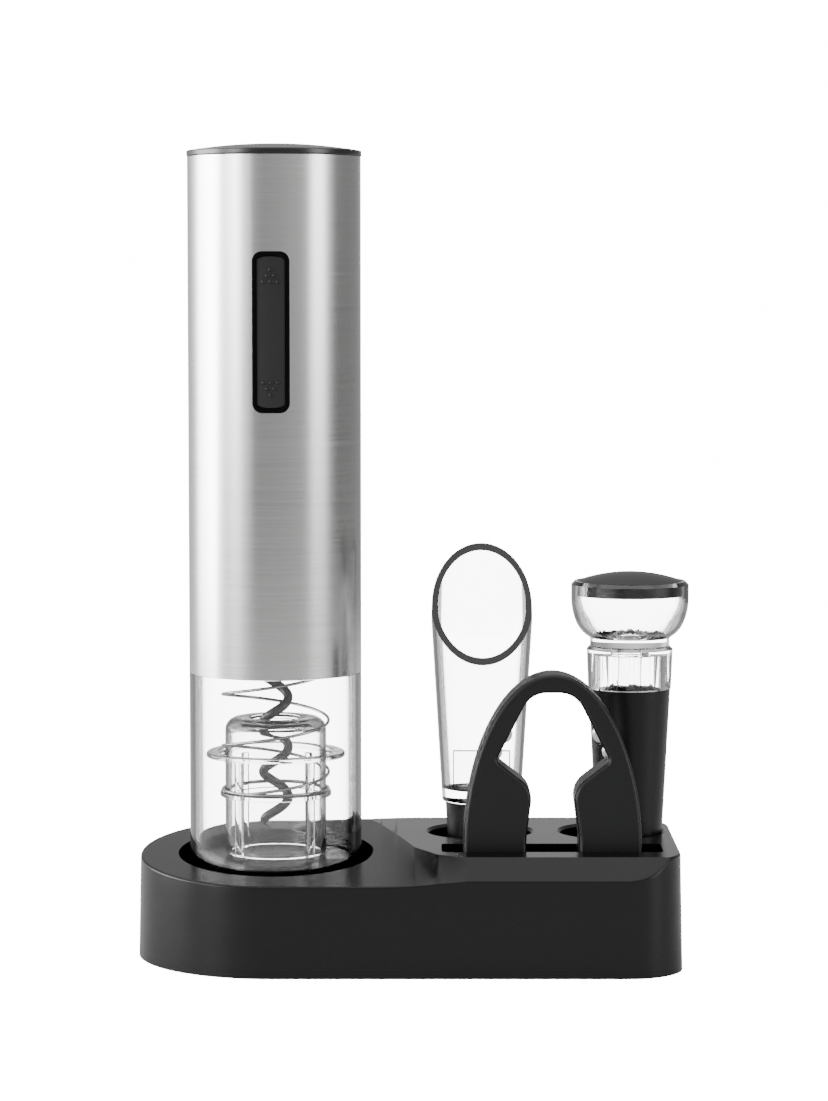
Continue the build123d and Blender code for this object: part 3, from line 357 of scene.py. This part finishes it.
def worked_metal_group():
    """Shader group: the fine marks that drawing, turning, brushing or plating leaves on metal."""
    group = bpy.data.node_groups.new("Worked Metal", "ShaderNodeTree")
    group.interface.new_socket("Colour", in_out="INPUT", socket_type="NodeSocketColor")
    group.interface.new_socket("Streaks", in_out="INPUT", socket_type="NodeSocketVector")
    for name in ("Detail", "Coarseness", "Dark Tone", "Light Tone", "Least Roughness", "Most Roughness",
                 "Depth", "Depth Size"):
        group.interface.new_socket(name, in_out="INPUT", socket_type="NodeSocketFloat")
    group.interface.new_socket("Colour", in_out="OUTPUT", socket_type="NodeSocketColor")
    group.interface.new_socket("Roughness", in_out="OUTPUT", socket_type="NodeSocketFloat")
    group.interface.new_socket("Normal", in_out="OUTPUT", socket_type="NodeSocketVector")
    start = group.nodes.new("NodeGroupInput")
    end = group.nodes.new("NodeGroupOutput")
    place = group.nodes.new("ShaderNodeTexCoord")
    stretch = group.nodes.new("ShaderNodeMapping")
    marks = group.nodes.new("ShaderNodeTexNoise")
    marks.inputs["Scale"].default_value = 1.0
    polish = group.nodes.new("ShaderNodeMapRange")
    tone = group.nodes.new("ShaderNodeMapRange")
    tint = group.nodes.new("ShaderNodeMix")
    tint.data_type = "RGBA"
    tint.blend_type = "MULTIPLY"
    tint.inputs["Factor"].default_value = 1.0
    bump = group.nodes.new("ShaderNodeBump")
    link(group, place.outputs["Object"], stretch.inputs["Vector"])
    link(group, start.outputs["Streaks"], stretch.inputs["Scale"])
    link(group, stretch.outputs["Vector"], marks.inputs["Vector"])
    link(group, start.outputs["Detail"], marks.inputs["Detail"])
    link(group, start.outputs["Coarseness"], marks.inputs["Roughness"])
    link(group, marks.outputs["Fac"], tone.inputs["Value"])
    link(group, start.outputs["Dark Tone"], tone.inputs["To Min"])
    link(group, start.outputs["Light Tone"], tone.inputs["To Max"])
    link(group, marks.outputs["Fac"], polish.inputs["Value"])
    link(group, start.outputs["Least Roughness"], polish.inputs["To Min"])
    link(group, start.outputs["Most Roughness"], polish.inputs["To Max"])
    link(group, marks.outputs["Fac"], bump.inputs["Height"])
    link(group, start.outputs["Depth"], bump.inputs["Strength"])
    link(group, start.outputs["Depth Size"], bump.inputs["Distance"])
    link(group, start.outputs["Colour"], tint.inputs["A"])
    link(group, tone.outputs["Result"], tint.inputs["B"])
    link(group, tint.outputs["Result"], end.inputs["Colour"])
    link(group, polish.outputs["Result"], end.inputs["Roughness"])
    link(group, bump.outputs["Normal"], end.inputs["Normal"])
    return group


worked_metal = worked_metal_group()


def metal(name, colour, roughness, streak=(400, 400, 400), depth=0.1, detail=3, coarseness=0.5,
          tones=(0.92, 1.06), polish=(0.75, 1.25), depth_size=0.03 * mm):
    """A bare or plated metal; tones and polish are the spread of its colour and its roughness."""
    material, tree, shader = new_material(name)
    surface = tree.nodes.new("ShaderNodeGroup")
    surface.node_tree = worked_metal
    surface.inputs["Colour"].default_value = (*colour, 1)
    surface.inputs["Streaks"].default_value = streak
    surface.inputs["Detail"].default_value = detail
    surface.inputs["Coarseness"].default_value = coarseness
    surface.inputs["Dark Tone"].default_value = tones[0]
    surface.inputs["Light Tone"].default_value = tones[1]
    surface.inputs["Least Roughness"].default_value = roughness * polish[0]
    surface.inputs["Most Roughness"].default_value = roughness * polish[1]
    surface.inputs["Depth"].default_value = depth
    surface.inputs["Depth Size"].default_value = depth_size
    shader.inputs["Metallic"].default_value = 1.0
    link(tree, surface.outputs["Colour"], shader.inputs["Base Color"])
    link(tree, surface.outputs["Roughness"], shader.inputs["Roughness"])
    link(tree, surface.outputs["Normal"], shader.inputs["Normal"])
    return material


plated = metal("plated_screw", (0.58, 0.58, 0.57), 0.3)
dress("stand_screws", plated)

# ------------------------------------------------------------------ steel sleeve
# A drawn stainless tube with a fine brushed finish that runs round it.  The button's window is
# cut through its front, and it is a push fit over the chassis.
sleeve_low, sleeve_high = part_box("steel_sleeve")
opener_axis = (sleeve_low + sleeve_high) / 2
body_r = (sleeve_high.x - sleeve_low.x) / 2
steel_roughness = 0.23
brushed_steel = metal("brushed_stainless", (0.60, 0.60, 0.595), steel_roughness, streak=(28, 28, 5200),
                      depth=0.12, detail=4, coarseness=0.65, tones=(0.86, 1.10),
                      polish=(0.16 / steel_roughness, 0.30 / steel_roughness), depth_size=0.02 * mm)
dress("steel_sleeve", brushed_steel)

# ------------------------------------------------------------------ button and its bezel
# The bezel is a gloss black frame snapped into the window, and the rocker in it is satin
# plastic with raised dots.  Behind them stand the board and its two switches.
dress("button_bezel", plastic("bezel_gloss", (0.0008, 0.0008, 0.0008), 0.2, grain_depth=0.0,
                              unevenness=0.02, gloss=0.12))
dress("rocker_button", plastic("rocker_satin", (0.009, 0.009, 0.009), 0.4, grain_size=6000,
                               grain_depth=0.12))


def dot_tree():
    """Geometry nodes that set a low dome on every point they are given."""
    tree = bpy.data.node_groups.new("Raised Dots", "GeometryNodeTree")
    tree.interface.new_socket("Geometry", in_out="INPUT", socket_type="NodeSocketGeometry")
    tree.interface.new_socket("Dot Radius", in_out="INPUT", socket_type="NodeSocketFloat")
    tree.interface.new_socket("Flatness", in_out="INPUT", socket_type="NodeSocketVector")
    tree.interface.new_socket("Finish", in_out="INPUT", socket_type="NodeSocketMaterial")
    tree.interface.new_socket("Geometry", in_out="OUTPUT", socket_type="NodeSocketGeometry")
    start = tree.nodes.new("NodeGroupInput")
    end = tree.nodes.new("NodeGroupOutput")
    dome = tree.nodes.new("GeometryNodeMeshUVSphere")
    dome.inputs["Segments"].default_value = 20
    dome.inputs["Rings"].default_value = 12
    spread = tree.nodes.new("GeometryNodeInstanceOnPoints")
    real = tree.nodes.new("GeometryNodeRealizeInstances")
    coat = tree.nodes.new("GeometryNodeSetMaterial")
    link(tree, start.outputs["Dot Radius"], dome.inputs["Radius"])
    link(tree, start.outputs["Geometry"], spread.inputs["Points"])
    link(tree, dome.outputs["Mesh"], spread.inputs["Instance"])
    link(tree, start.outputs["Flatness"], spread.inputs["Scale"])
    link(tree, spread.outputs["Instances"], real.inputs["Geometry"])
    link(tree, real.outputs["Geometry"], coat.inputs["Geometry"])
    link(tree, start.outputs["Finish"], coat.inputs["Material"])
    link(tree, coat.outputs["Geometry"], end.inputs["Geometry"])
    return tree


def grown(name, tree, values, turn=0.0, place=Vector((0, 0, 0)), points=()):
    """Runs a geometry nodes tree with its named inputs and returns the plain mesh, put in place."""
    source = bpy.data.meshes.new(name + "_source")
    source.from_pydata(points, [], [])
    holder = bpy.data.objects.new(name + "_source", source)
    bpy.context.scene.collection.objects.link(holder)
    modifier = holder.modifiers.new("grow", "NODES")
    modifier.node_group = tree
    for item in tree.interface.items_tree:
        if item.item_type == "SOCKET" and item.in_out == "INPUT" and item.name in values:
            modifier[item.identifier] = values[item.name]
    bpy.context.view_layer.update()
    result = holder.evaluated_get(bpy.context.evaluated_depsgraph_get())
    mesh = bpy.data.meshes.new_from_object(result)
    bpy.data.objects.remove(holder)
    mesh.transform(Matrix.Translation(place) @ Matrix.Rotation(turn, 4, "Z"))
    mesh.name = name
    piece = bpy.data.objects.new(name, mesh)
    bpy.context.scene.collection.objects.link(piece)
    mesh.shade_smooth()
    mesh.set_sharp_from_angle(angle=math.radians(50))
    return piece


dot_rows = ((17.6, 1), (15.9, 2), (14.2, 3))
dot_pitch = 2.0
rocker_low, rocker_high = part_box("rocker_button")
rocker_middle = (rocker_low.z + rocker_high.z) / 2
dot_places = []
for side in (1, -1):
    for height, count in dot_rows:
        for place in range(count):
            across = (place - (count - 1) / 2) * dot_pitch * mm
            front = -math.sqrt(body_r ** 2 - across ** 2)
            dot_places.append((opener_axis.x + across, front, rocker_middle + side * height * mm))
dot_r = 0.66
dot_flatness = (1.0, 0.55, 1.0)
dot_gloss = plastic("dot_gloss", (0.001, 0.001, 0.001), 0.22, grain_depth=0.0)
dots = grown("rocker_dots", dot_tree(), {
    "Dot Radius": dot_r * mm, "Flatness": dot_flatness, "Finish": dot_gloss}, points=dot_places)
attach(dots, "rocker")

dress("switch_board", plastic("board_lacquer", (0.02, 0.12, 0.05), 0.35, grain_size=900, grain_depth=0.2))
dress("tact_switches", plated)

# ------------------------------------------------------------------ battery cap
# A black ring that turns in the sleeve's mouth carries a shallow dark grey dome.
dress("cap_ring", plastic("ring_gloss", (0.010, 0.010, 0.010), 0.25, grain_depth=0.0))
dress("cap_dome", plastic("dome_satin", (0.06, 0.06, 0.061), 0.3, grain_size=6000, grain_depth=0.06))
dress("cap_contacts", metal("nickel_strip", (0.66, 0.62, 0.55), 0.25, streak=(2000, 60, 60)))

# ------------------------------------------------------------------ drive train inside the sleeve
# A small motor drives a planetary gear stage, and its carrier turns the worm's spindle in a
# sintered bush.  Four cells in a tray above it feed the motor.
black_nylon = plastic("black_nylon", (0.008, 0.008, 0.008), 0.5, grain_size=2500, grain_depth=0.3)
white_nylon = plastic("white_nylon", (0.62, 0.61, 0.57), 0.42, grain_size=2500, grain_depth=0.1)
zinc = metal("zinc_plate", (0.55, 0.55, 0.54), 0.34, streak=(90, 90, 1400))
bronze = metal("sintered_bronze", (0.48, 0.30, 0.14), 0.42, streak=(2600, 2600, 2600), depth=0.4)
for name in ("bearing_plate", "motor_end_cap", "chassis_front", "chassis_rear", "battery_tray", "spindle"):
    dress(name, black_nylon)
for name in ("ring_gear", "planet_gear_1", "planet_gear_2", "planet_gear_3"):
    dress(name, white_nylon)
for name in ("motor_can", "motor_plate", "planet_carrier"):
    dress(name, zinc)
for name in ("spindle_bush", "motor_bearing", "sun_gear"):
    dress(name, bronze)
for name in ("motor_screws", "motor_shaft", "planet_pins"):
    dress(name, plated)
dress("motor_magnets", plastic("ferrite", (0.035, 0.033, 0.032), 0.6, grain_size=1200, grain_depth=0.6))
dress("motor_rotor", metal("wound_copper", (0.45, 0.20, 0.09), 0.35, streak=(3000, 3000, 120), depth=0.6))
dress("battery_cells", plastic("cell_jacket", (0.05, 0.14, 0.09), 0.28, grain_depth=0.0))
dress("lower_contacts", metal("nickel_spring", (0.66, 0.62, 0.55), 0.25))

# ------------------------------------------------------------------ clear cover
# The cover over the worm is a thick tube of clear moulded plastic with a rounded lower lip.


def clear_surface_group():
    """Shader group: the faint waviness and haze that a polished mould leaves on clear plastic."""
    group = bpy.data.node_groups.new("Clear Surface", "ShaderNodeTree")
    for name in ("Least Haze", "Most Haze"):
        group.interface.new_socket(name, in_out="INPUT", socket_type="NodeSocketFloat")
    group.interface.new_socket("Roughness", in_out="OUTPUT", socket_type="NodeSocketFloat")
    group.interface.new_socket("Normal", in_out="OUTPUT", socket_type="NodeSocketVector")
    start = group.nodes.new("NodeGroupInput")
    end = group.nodes.new("NodeGroupOutput")
    place = group.nodes.new("ShaderNodeTexCoord")
    waves = group.nodes.new("ShaderNodeTexNoise")
    waves.inputs["Scale"].default_value = 60
    waves.inputs["Detail"].default_value = 1
    bump = group.nodes.new("ShaderNodeBump")
    bump.inputs["Strength"].default_value = 0.05
    bump.inputs["Distance"].default_value = 0.2 * mm
    haze = group.nodes.new("ShaderNodeMapRange")
    link(group, place.outputs["Object"], waves.inputs["Vector"])
    link(group, waves.outputs["Fac"], bump.inputs["Height"])
    link(group, waves.outputs["Fac"], haze.inputs["Value"])
    link(group, start.outputs["Least Haze"], haze.inputs["To Min"])
    link(group, start.outputs["Most Haze"], haze.inputs["To Max"])
    link(group, haze.outputs["Result"], end.inputs["Roughness"])
    link(group, bump.outputs["Normal"], end.inputs["Normal"])
    return group


clear_surface = clear_surface_group()


def clear_plastic(name, bore_share, painted_rim_shade):
    """Clear moulded plastic with painted shade: its colour turns dark grey where the eye looks along its
    wall, standing in for the dark surroundings that refraction shows there; bore_share is bore over outside.
    """
    material, tree, shader = new_material(name)
    surface = tree.nodes.new("ShaderNodeGroup")
    surface.node_tree = clear_surface
    surface.inputs["Least Haze"].default_value = 0.008
    surface.inputs["Most Haze"].default_value = 0.032
    shader.inputs["Transmission Weight"].default_value = 1.0
    shader.inputs["IOR"].default_value = 1.49
    slope = tree.nodes.new("ShaderNodeLayerWeight")
    slope.inputs["Blend"].default_value = 0.5
    rim_start = 1 - math.sqrt(1 - bore_share ** 2)
    rim = tree.nodes.new("ShaderNodeMapRange")
    rim.inputs["From Min"].default_value = rim_start - 0.03
    rim.inputs["From Max"].default_value = rim_start + 0.09
    # Painted shade: the colour darkens towards the silhouette by viewing angle, for the dark outlines that
    # refraction gives a clear wall.
    edge = tree.nodes.new("ShaderNodeMix")
    edge.data_type = "RGBA"
    edge.inputs["A"].default_value = (0.97, 0.97, 0.97, 1)
    edge.inputs["B"].default_value = (painted_rim_shade, painted_rim_shade, painted_rim_shade, 1)
    link(tree, slope.outputs["Facing"], rim.inputs["Value"])
    link(tree, rim.outputs["Result"], edge.inputs["Factor"])
    link(tree, edge.outputs["Result"], shader.inputs["Base Color"])
    link(tree, surface.outputs["Roughness"], shader.inputs["Roughness"])
    link(tree, surface.outputs["Normal"], shader.inputs["Normal"])
    return material


def finish_mesh(name, data, material, body, *replaced, smooth_angle=40):
    """Makes a piece of a finished bmesh, smooths it and lets it ride on its body."""
    mesh = bpy.data.meshes.new(name)
    data.to_mesh(mesh)
    data.free()
    piece = bpy.data.objects.new(name, mesh)
    bpy.context.scene.collection.objects.link(piece)
    mesh.materials.append(material)
    mesh.shade_smooth()
    mesh.set_sharp_from_angle(angle=math.radians(smooth_angle))
    even_normals(piece)
    if body:
        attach(piece, body)
    if replaced:
        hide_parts(*replaced)
    return piece


def turned(profile, axis, steps=128):
    """A closed turned solid: profile is a loop of (radius, height) in mm about a vertical axis."""
    solid = bmesh.new()
    rings = []
    for radius, height in profile:
        if radius < 1e-6:
            rings.append([solid.verts.new((axis.x, axis.y, height * mm))])
            continue
        ring = []
        for step in range(steps):
            angle = 2 * math.pi * step / steps
            ring.append(solid.verts.new((axis.x + radius * mm * math.cos(angle),
                                         axis.y + radius * mm * math.sin(angle), height * mm)))
        rings.append(ring)
    for first, second in zip(rings, rings[1:] + rings[:1]):
        if len(first) == 1 and len(second) == 1:
            continue
        for step in range(steps):
            following = (step + 1) % steps
            corners = [first[step % len(first)], first[following % len(first)],
                       second[following % len(second)], second[step % len(second)]]
            corners = list(dict.fromkeys(corners))
            solid.faces.new(corners)
    bmesh.ops.recalc_face_normals(solid, faces=solid.faces)
    return solid


def rounded(corners, steps=5):
    """Rounds a closed profile: each corner is (radius, height, corner radius), all in mm."""
    points = []
    count = len(corners)
    for index, (x, z, bend) in enumerate(corners):
        here = Vector((x, z))
        before = Vector(corners[index - 1][:2])
        after = Vector(corners[(index + 1) % count][:2])
        if bend <= 0:
            points.append((x, z))
            continue
        into = (before - here).normalized()
        away = (after - here).normalized()
        half = into.angle(away) / 2
        reach = min(bend / math.tan(half), (before - here).length * 0.49, (after - here).length * 0.49)
        radius = reach * math.tan(half)
        centre = here + (into + away).normalized() * (radius / math.sin(half))
        start = here + into * reach - centre
        sweep = start.angle_signed(here + away * reach - centre)
        for step in range(steps + 1):
            arm = start.copy()
            arm.rotate(Matrix.Rotation(-sweep * step / steps, 2))
            points.append((centre.x + arm.x, centre.y + arm.y))
    return points


cover_low, cover_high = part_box("clear_cover")
joint_z = sleeve_low.z / mm
cover_wall = 2.4
cover_bore = body_r / mm - cover_wall
cover_r = body_r / mm - 0.01
spigot_r = body_r / mm - 1.0
lip = 0.8
joint_gap = 0.02
cover_plastic = clear_plastic("clear_cover_plastic", cover_bore * mm / body_r, painted_rim_shade=0.018)
cover_profile = rounded([(cover_bore, cover_low.z / mm, lip), (cover_r, cover_low.z / mm, lip),
                         (cover_r, joint_z - joint_gap, 0.15), (spigot_r, joint_z - joint_gap, 0),
                         (spigot_r, cover_high.z / mm, 0.3), (cover_bore, cover_high.z / mm, 0.3)])
cover_tube = turned(cover_profile, opener_axis, 192)
finish_mesh("clear_cover_tube", cover_tube, cover_plastic, "opener", "clear_cover")

# ------------------------------------------------------------------ worm and return spring
# The worm is a hardened steel wire wound into an open helix, with a dark non-stick coating and a
# ground point.  The spring that pushes the bottle guide down is a lighter wire of the same hand,
# and each is turned so that it meets its left side at the height named "left".


def helix_tree():
    """Geometry nodes that wind a round wire, with an optional taper to a point at its lower end."""
    tree = bpy.data.node_groups.new("Wound Wire", "GeometryNodeTree")
    kinds = {"NodeSocketFloat": ("Turns", "Radius", "Height", "Wire Radius", "Point Length"),
             "NodeSocketInt": ("Steps", "Sides"), "NodeSocketMaterial": ("Finish",)}
    for kind, names in kinds.items():
        for name in names:
            tree.interface.new_socket(name, in_out="INPUT", socket_type=kind)
    tree.interface.new_socket("Geometry", in_out="OUTPUT", socket_type="NodeSocketGeometry")
    start = tree.nodes.new("NodeGroupInput")
    end = tree.nodes.new("NodeGroupOutput")
    spiral = tree.nodes.new("GeometryNodeCurveSpiral")
    spiral.inputs["Reverse"].default_value = True
    share = tree.nodes.new("GeometryNodeSplineParameter")
    taper = tree.nodes.new("ShaderNodeMapRange")
    taper.interpolation_type = "SMOOTHERSTEP"
    taper.inputs["To Min"].default_value = 0.08
    thick = tree.nodes.new("GeometryNodeSetCurveRadius")
    section = tree.nodes.new("GeometryNodeCurvePrimitiveCircle")
    skin = tree.nodes.new("GeometryNodeCurveToMesh")
    skin.inputs["Fill Caps"].default_value = True
    coat = tree.nodes.new("GeometryNodeSetMaterial")
    real = tree.nodes.new("GeometryNodeRealizeInstances")
    link(tree, start.outputs["Steps"], spiral.inputs["Resolution"])
    link(tree, start.outputs["Turns"], spiral.inputs["Rotations"])
    link(tree, start.outputs["Radius"], spiral.inputs["Start Radius"])
    link(tree, start.outputs["Radius"], spiral.inputs["End Radius"])
    link(tree, start.outputs["Height"], spiral.inputs["Height"])
    link(tree, share.outputs["Length"], taper.inputs["Value"])
    link(tree, start.outputs["Point Length"], taper.inputs["From Max"])
    link(tree, spiral.outputs["Curve"], thick.inputs["Curve"])
    link(tree, taper.outputs["Result"], thick.inputs["Radius"])
    link(tree, start.outputs["Sides"], section.inputs["Resolution"])
    link(tree, start.outputs["Wire Radius"], section.inputs["Radius"])
    link(tree, thick.outputs["Curve"], skin.inputs["Curve"])
    link(tree, section.outputs["Curve"], skin.inputs["Profile Curve"])
    if "Scale" in skin.inputs:
        link(tree, taper.outputs["Result"], skin.inputs["Scale"])
    link(tree, skin.outputs["Mesh"], real.inputs["Geometry"])
    link(tree, real.outputs["Geometry"], coat.inputs["Geometry"])
    link(tree, start.outputs["Finish"], coat.inputs["Material"])
    link(tree, coat.outputs["Geometry"], end.inputs["Geometry"])
    return tree


wound_wire = helix_tree()
worm_coat = plastic("worm_coating", (0.016, 0.016, 0.016), 0.36, grain_size=2600, grain_depth=0.25,
                    coat=0.15)
worm_pitch = 14.5
worm_r = 3.65
worm_wire_r = 1.35
worm_point = 9
worm_start = 36.6
worm_end = 95.0
worm_left = 39.2
worm_wire = grown("worm_wire", wound_wire, {
    "Turns": (worm_end - worm_start) / worm_pitch, "Height": (worm_end - worm_start) * mm,
    "Radius": worm_r * mm, "Wire Radius": worm_wire_r * mm, "Point Length": worm_point * mm,
    "Steps": 320, "Sides": 24, "Finish": worm_coat},
    turn=math.radians(180 - 360 * (worm_left - worm_start) / worm_pitch),
    place=Vector((opener_axis.x, opener_axis.y, worm_start * mm)))
shank_r = 5.1
shank_z = (92, 98)
shank = turned(rounded([(0, shank_z[0], 0), (shank_r, shank_z[0], 0.6), (shank_r, shank_z[1], 0.2),
                        (0, shank_z[1], 0)]), opener_axis, 64)
finish_mesh("worm_shank", shank, worm_coat, "worm_drive")
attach(worm_wire, "worm_drive")
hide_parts("worm")

spring_steel = metal("spring_wire", (0.42, 0.42, 0.42), 0.22, streak=(900, 900, 900))
spring_pitch = 15.0
spring_r = 15.4
spring_wire_r = 0.45
spring_start = 48.9
spring_end = 100.5
spring_left = 61.4
spring_sides = 12
spring_wire = grown("return_spring_wire", wound_wire, {
    "Turns": (spring_end - spring_start) / spring_pitch, "Height": (spring_end - spring_start) * mm,
    "Radius": spring_r * mm, "Wire Radius": spring_wire_r * mm, "Point Length": 0.2 * mm,
    "Steps": 280, "Sides": spring_sides, "Finish": spring_steel},
    turn=math.radians(180 - 360 * (spring_left - spring_start) / spring_pitch),
    place=Vector((opener_axis.x, opener_axis.y, spring_start * mm)))
coil_angles = [2 * math.pi * step / spring_sides for step in range(spring_sides)]
coil_profile = [(spring_r + spring_wire_r * math.cos(angle), spring_start + spring_wire_r * math.sin(angle))
                for angle in coil_angles]
end_coil = turned(coil_profile, opener_axis, 128)
coil_piece = finish_mesh("return_spring_end", end_coil, spring_steel, "opener")
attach(spring_wire, "opener")
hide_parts("return_spring")
for piece in (spring_wire, coil_piece):
    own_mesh(piece)

# ------------------------------------------------------------------ bottle guide
# A clear cup that slides up the cover as the bottle's neck is pushed in.  Its skirt has four ribs,
# a ledge for the spring, and a ring that runs on the cover's wall.
skirt_bore = 13.5
skirt_r = 14.7
guide_plastic = clear_plastic("clear_guide_plastic", skirt_bore / skirt_r, painted_rim_shade=0.02)
guide_low, guide_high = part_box("bottle_guide")
skirt_low = guide_low.z / mm
cup_top = guide_high.z / mm
cup_roof = cup_top - 1.6
cup_hole = 7.6
ledge_r = 16.2
ledge_z = (47.0, 48.4)
guide_profile = rounded([
    (skirt_bore, skirt_low, 0.4), (skirt_r, skirt_low, 0.4), (skirt_r, ledge_z[0], 0.1),
    (ledge_r, ledge_z[0], 0.3), (ledge_r, ledge_z[1], 0.3), (skirt_r, ledge_z[1], 0.1),
    (skirt_r, cup_top, 4.6), (cup_hole, cup_top, 0.4), (cup_hole, cup_roof, 0.4),
    (skirt_bore, cup_roof, 3.6)])
guide = turned(guide_profile, opener_axis, 160)
finish_mesh("bottle_guide_cup", guide, guide_plastic, "guide", "bottle_guide")
ring_bore = 16.6
ring_r = 20.2
ring_z = (58.6, 60.0)
ring_profile = rounded([(ring_bore, ring_z[0], 0.4), (ring_r, ring_z[0], 0.5),
                        (ring_r, ring_z[1], 0.5), (ring_bore, ring_z[1], 0.4)])
finish_mesh("bottle_guide_ring", turned(ring_profile, opener_axis, 160), guide_plastic, "guide")


def slab(size, centre, bevel, turn=0.0):
    """A small bar with rounded edges, turned about the vertical; sizes in mm."""
    solid = bmesh.new()
    bmesh.ops.create_cube(solid, size=1)
    bmesh.ops.scale(solid, vec=[value * mm for value in size], verts=solid.verts)
    bmesh.ops.bevel(solid, geom=solid.edges[:], offset=bevel * mm, segments=3, affect="EDGES", profile=0.5)
    solid.transform(Matrix.Rotation(turn, 4, "Z") @ Matrix.Translation(Vector(centre) * mm))
    return solid


rib_top = 58.2
rib_size = (1.6, 2.4, rib_top - skirt_low)
rib_place = (13.0, 0, (rib_top + skirt_low) / 2)
tab_size = (2.2, 6.6, 1.3)
tab_place = (15.7, 0, 59.3)
to_opener = Matrix.Translation((opener_axis.x, opener_axis.y, 0))
for number, angle in enumerate((41, 139, 221, 319), 1):
    rib = slab(rib_size, rib_place, 0.4, math.radians(angle))
    rib.transform(to_opener)
    finish_mesh(f"bottle_guide_rib_{number}", rib, guide_plastic, "guide")
for number, angle in enumerate((0, 180), 1):
    tab = slab(tab_size, tab_place, 0.3, math.radians(angle))
    tab.transform(to_opener)
    finish_mesh(f"bottle_guide_tab_{number}", tab, guide_plastic, "guide")

# ------------------------------------------------------------------ pourer
# A clear spout with a slanted mouth and a divider in its throat, pushed into a ribbed rubber bung.
spout_low, spout_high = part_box("pourer_spout")
pourer_axis = Vector(((spout_low.x + spout_high.x) / 2, (spout_low.y + spout_high.y) / 2, 0))
spout_wall = 1.8
foot_r = 11.6
belly_r = 14.9
tip_r = 14.2
foot_z = 43.1
throat_z = 46.8
belly_z = 97.0
blank_top = 121.0
clear_spout = clear_plastic("clear_spout_plastic", 1 - spout_wall / belly_r, painted_rim_shade=0.010)
spout = turned(rounded([
    (0, foot_z, 0), (foot_r, foot_z, 0.5), (belly_r, belly_z, 30), (tip_r, blank_top, 0),
    (tip_r - spout_wall, blank_top, 0), (belly_r - spout_wall, belly_z, 30),
    (foot_r + 0.2 - spout_wall, throat_z, 1.5), (0, throat_z, 0)]), pourer_axis, 192)
cut_low = Vector((pourer_axis.x, pourer_axis.y - 14.14 * mm, 84.7 * mm))
cut_high = Vector((pourer_axis.x, pourer_axis.y + 14.3 * mm, 118.3 * mm))
slant = (cut_high - cut_low).normalized()
cut_normal = Vector((0, -slant.z, slant.y))
bmesh.ops.bisect_plane(spout, geom=spout.verts[:] + spout.edges[:] + spout.faces[:], plane_co=cut_low,
                       plane_no=cut_normal, clear_outer=True)
open_edges = [edge for edge in spout.edges if edge.is_boundary]
bmesh.ops.bridge_loops(spout, edges=open_edges)
bmesh.ops.recalc_face_normals(spout, faces=spout.faces)
spout_tube = finish_mesh("pourer_spout_tube", spout, clear_spout, "pourer", "pourer_spout")
# Painted shade: the clear spout's slanted cut face is an opaque dark plastic, standing in for the dark
# surroundings that refraction shows through that rim.
cut_rim_shade = plastic("cut_rim_painted_shade", (0.018, 0.018, 0.018), 0.25, grain_depth=0.05, gloss=0.35)
spout_tube.data.materials.append(cut_rim_shade)
for face in spout_tube.data.polygons:
    if abs((face.center - cut_low).dot(cut_normal)) < 0.05 * mm:
        face.material_index = 1

divider_size = (17.0, 1.2, 11.2)
divider_middle = 52.4
divider = slab(divider_size, (0, 0, divider_middle), 0.3)
divider.transform(Matrix.Translation(pourer_axis))
divider_plate = finish_mesh("pourer_divider_plate", divider, clear_spout, "pourer", "pourer_divider")
# Painted shade: the clear divider's edge faces are an opaque dark grey, standing in for the darkness that
# refraction shows along a clear plate's edges.
divider_edge_shade = plastic("divider_edge_painted_shade", (0.05, 0.05, 0.05), 0.3, grain_depth=0.05)
divider_plate.data.materials.append(divider_edge_shade)
for face in divider_plate.data.polygons:
    if abs(face.normal.y) < 0.99:
        face.material_index = 1

bung_rubber = plastic("bung_rubber", (0.003, 0.003, 0.003), 0.4, grain_size=2200, grain_depth=0.3)
dress("pourer_bung", bung_rubber)

# ------------------------------------------------------------------ vacuum stopper
# A black rubber plug with a clear fluted collar.  The pump's clear bowl, domed lid and rod lift
# together to draw the air out through the valve.
body_low, body_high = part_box("stopper_body")
stopper_axis = Vector(((body_low.x + body_high.x) / 2, (body_low.y + body_high.y) / 2, 0))
dress("stopper_body", plastic("stopper_rubber", (0.002, 0.002, 0.002), 0.36, grain_size=2600,
                              grain_depth=0.2, gloss=0.3))
dress("stopper_valve", bung_rubber)
dress("piston_seal", bung_rubber)
bowl_low, bowl_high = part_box("pump_bowl")
bowl_r = (bowl_high.x - bowl_low.x) / 2 / mm
bowl_wall = 1.8
clear_stopper = clear_plastic("clear_stopper_plastic", 1 - bowl_wall / bowl_r, painted_rim_shade=0.02)
dress("stopper_collar", clear_stopper)
dress("pump_rod", clear_stopper)
dress("pump_bowl", clear_stopper)
dress("pump_lid", plastic("lid_satin", (0.010, 0.010, 0.0102), 0.36, grain_size=6000,
                          grain_depth=0.08, gloss=0.3))

# ------------------------------------------------------------------ foil cutter
# A horseshoe of matte black plastic that springs a little, with four small steel wheels on pins.
dress("cutter_frame", plastic("cutter_matte", (0.0024, 0.0024, 0.0024), 0.42, grain_size=5000,
                              grain_depth=0.15, gloss=0.35))
dress("cutter_axles", plated)
for number in range(1, 5):
    wheel_steel = metal(f"wheel_steel_{number}", (0.6, 0.6, 0.6), 0.25, streak=(1200, 1200, 1200))
    dress(f"cutter_disc_{number}", wheel_steel)

# ------------------------------------------------------------------ last update
# The view layer is brought up to date.
bpy.context.view_layer.update()
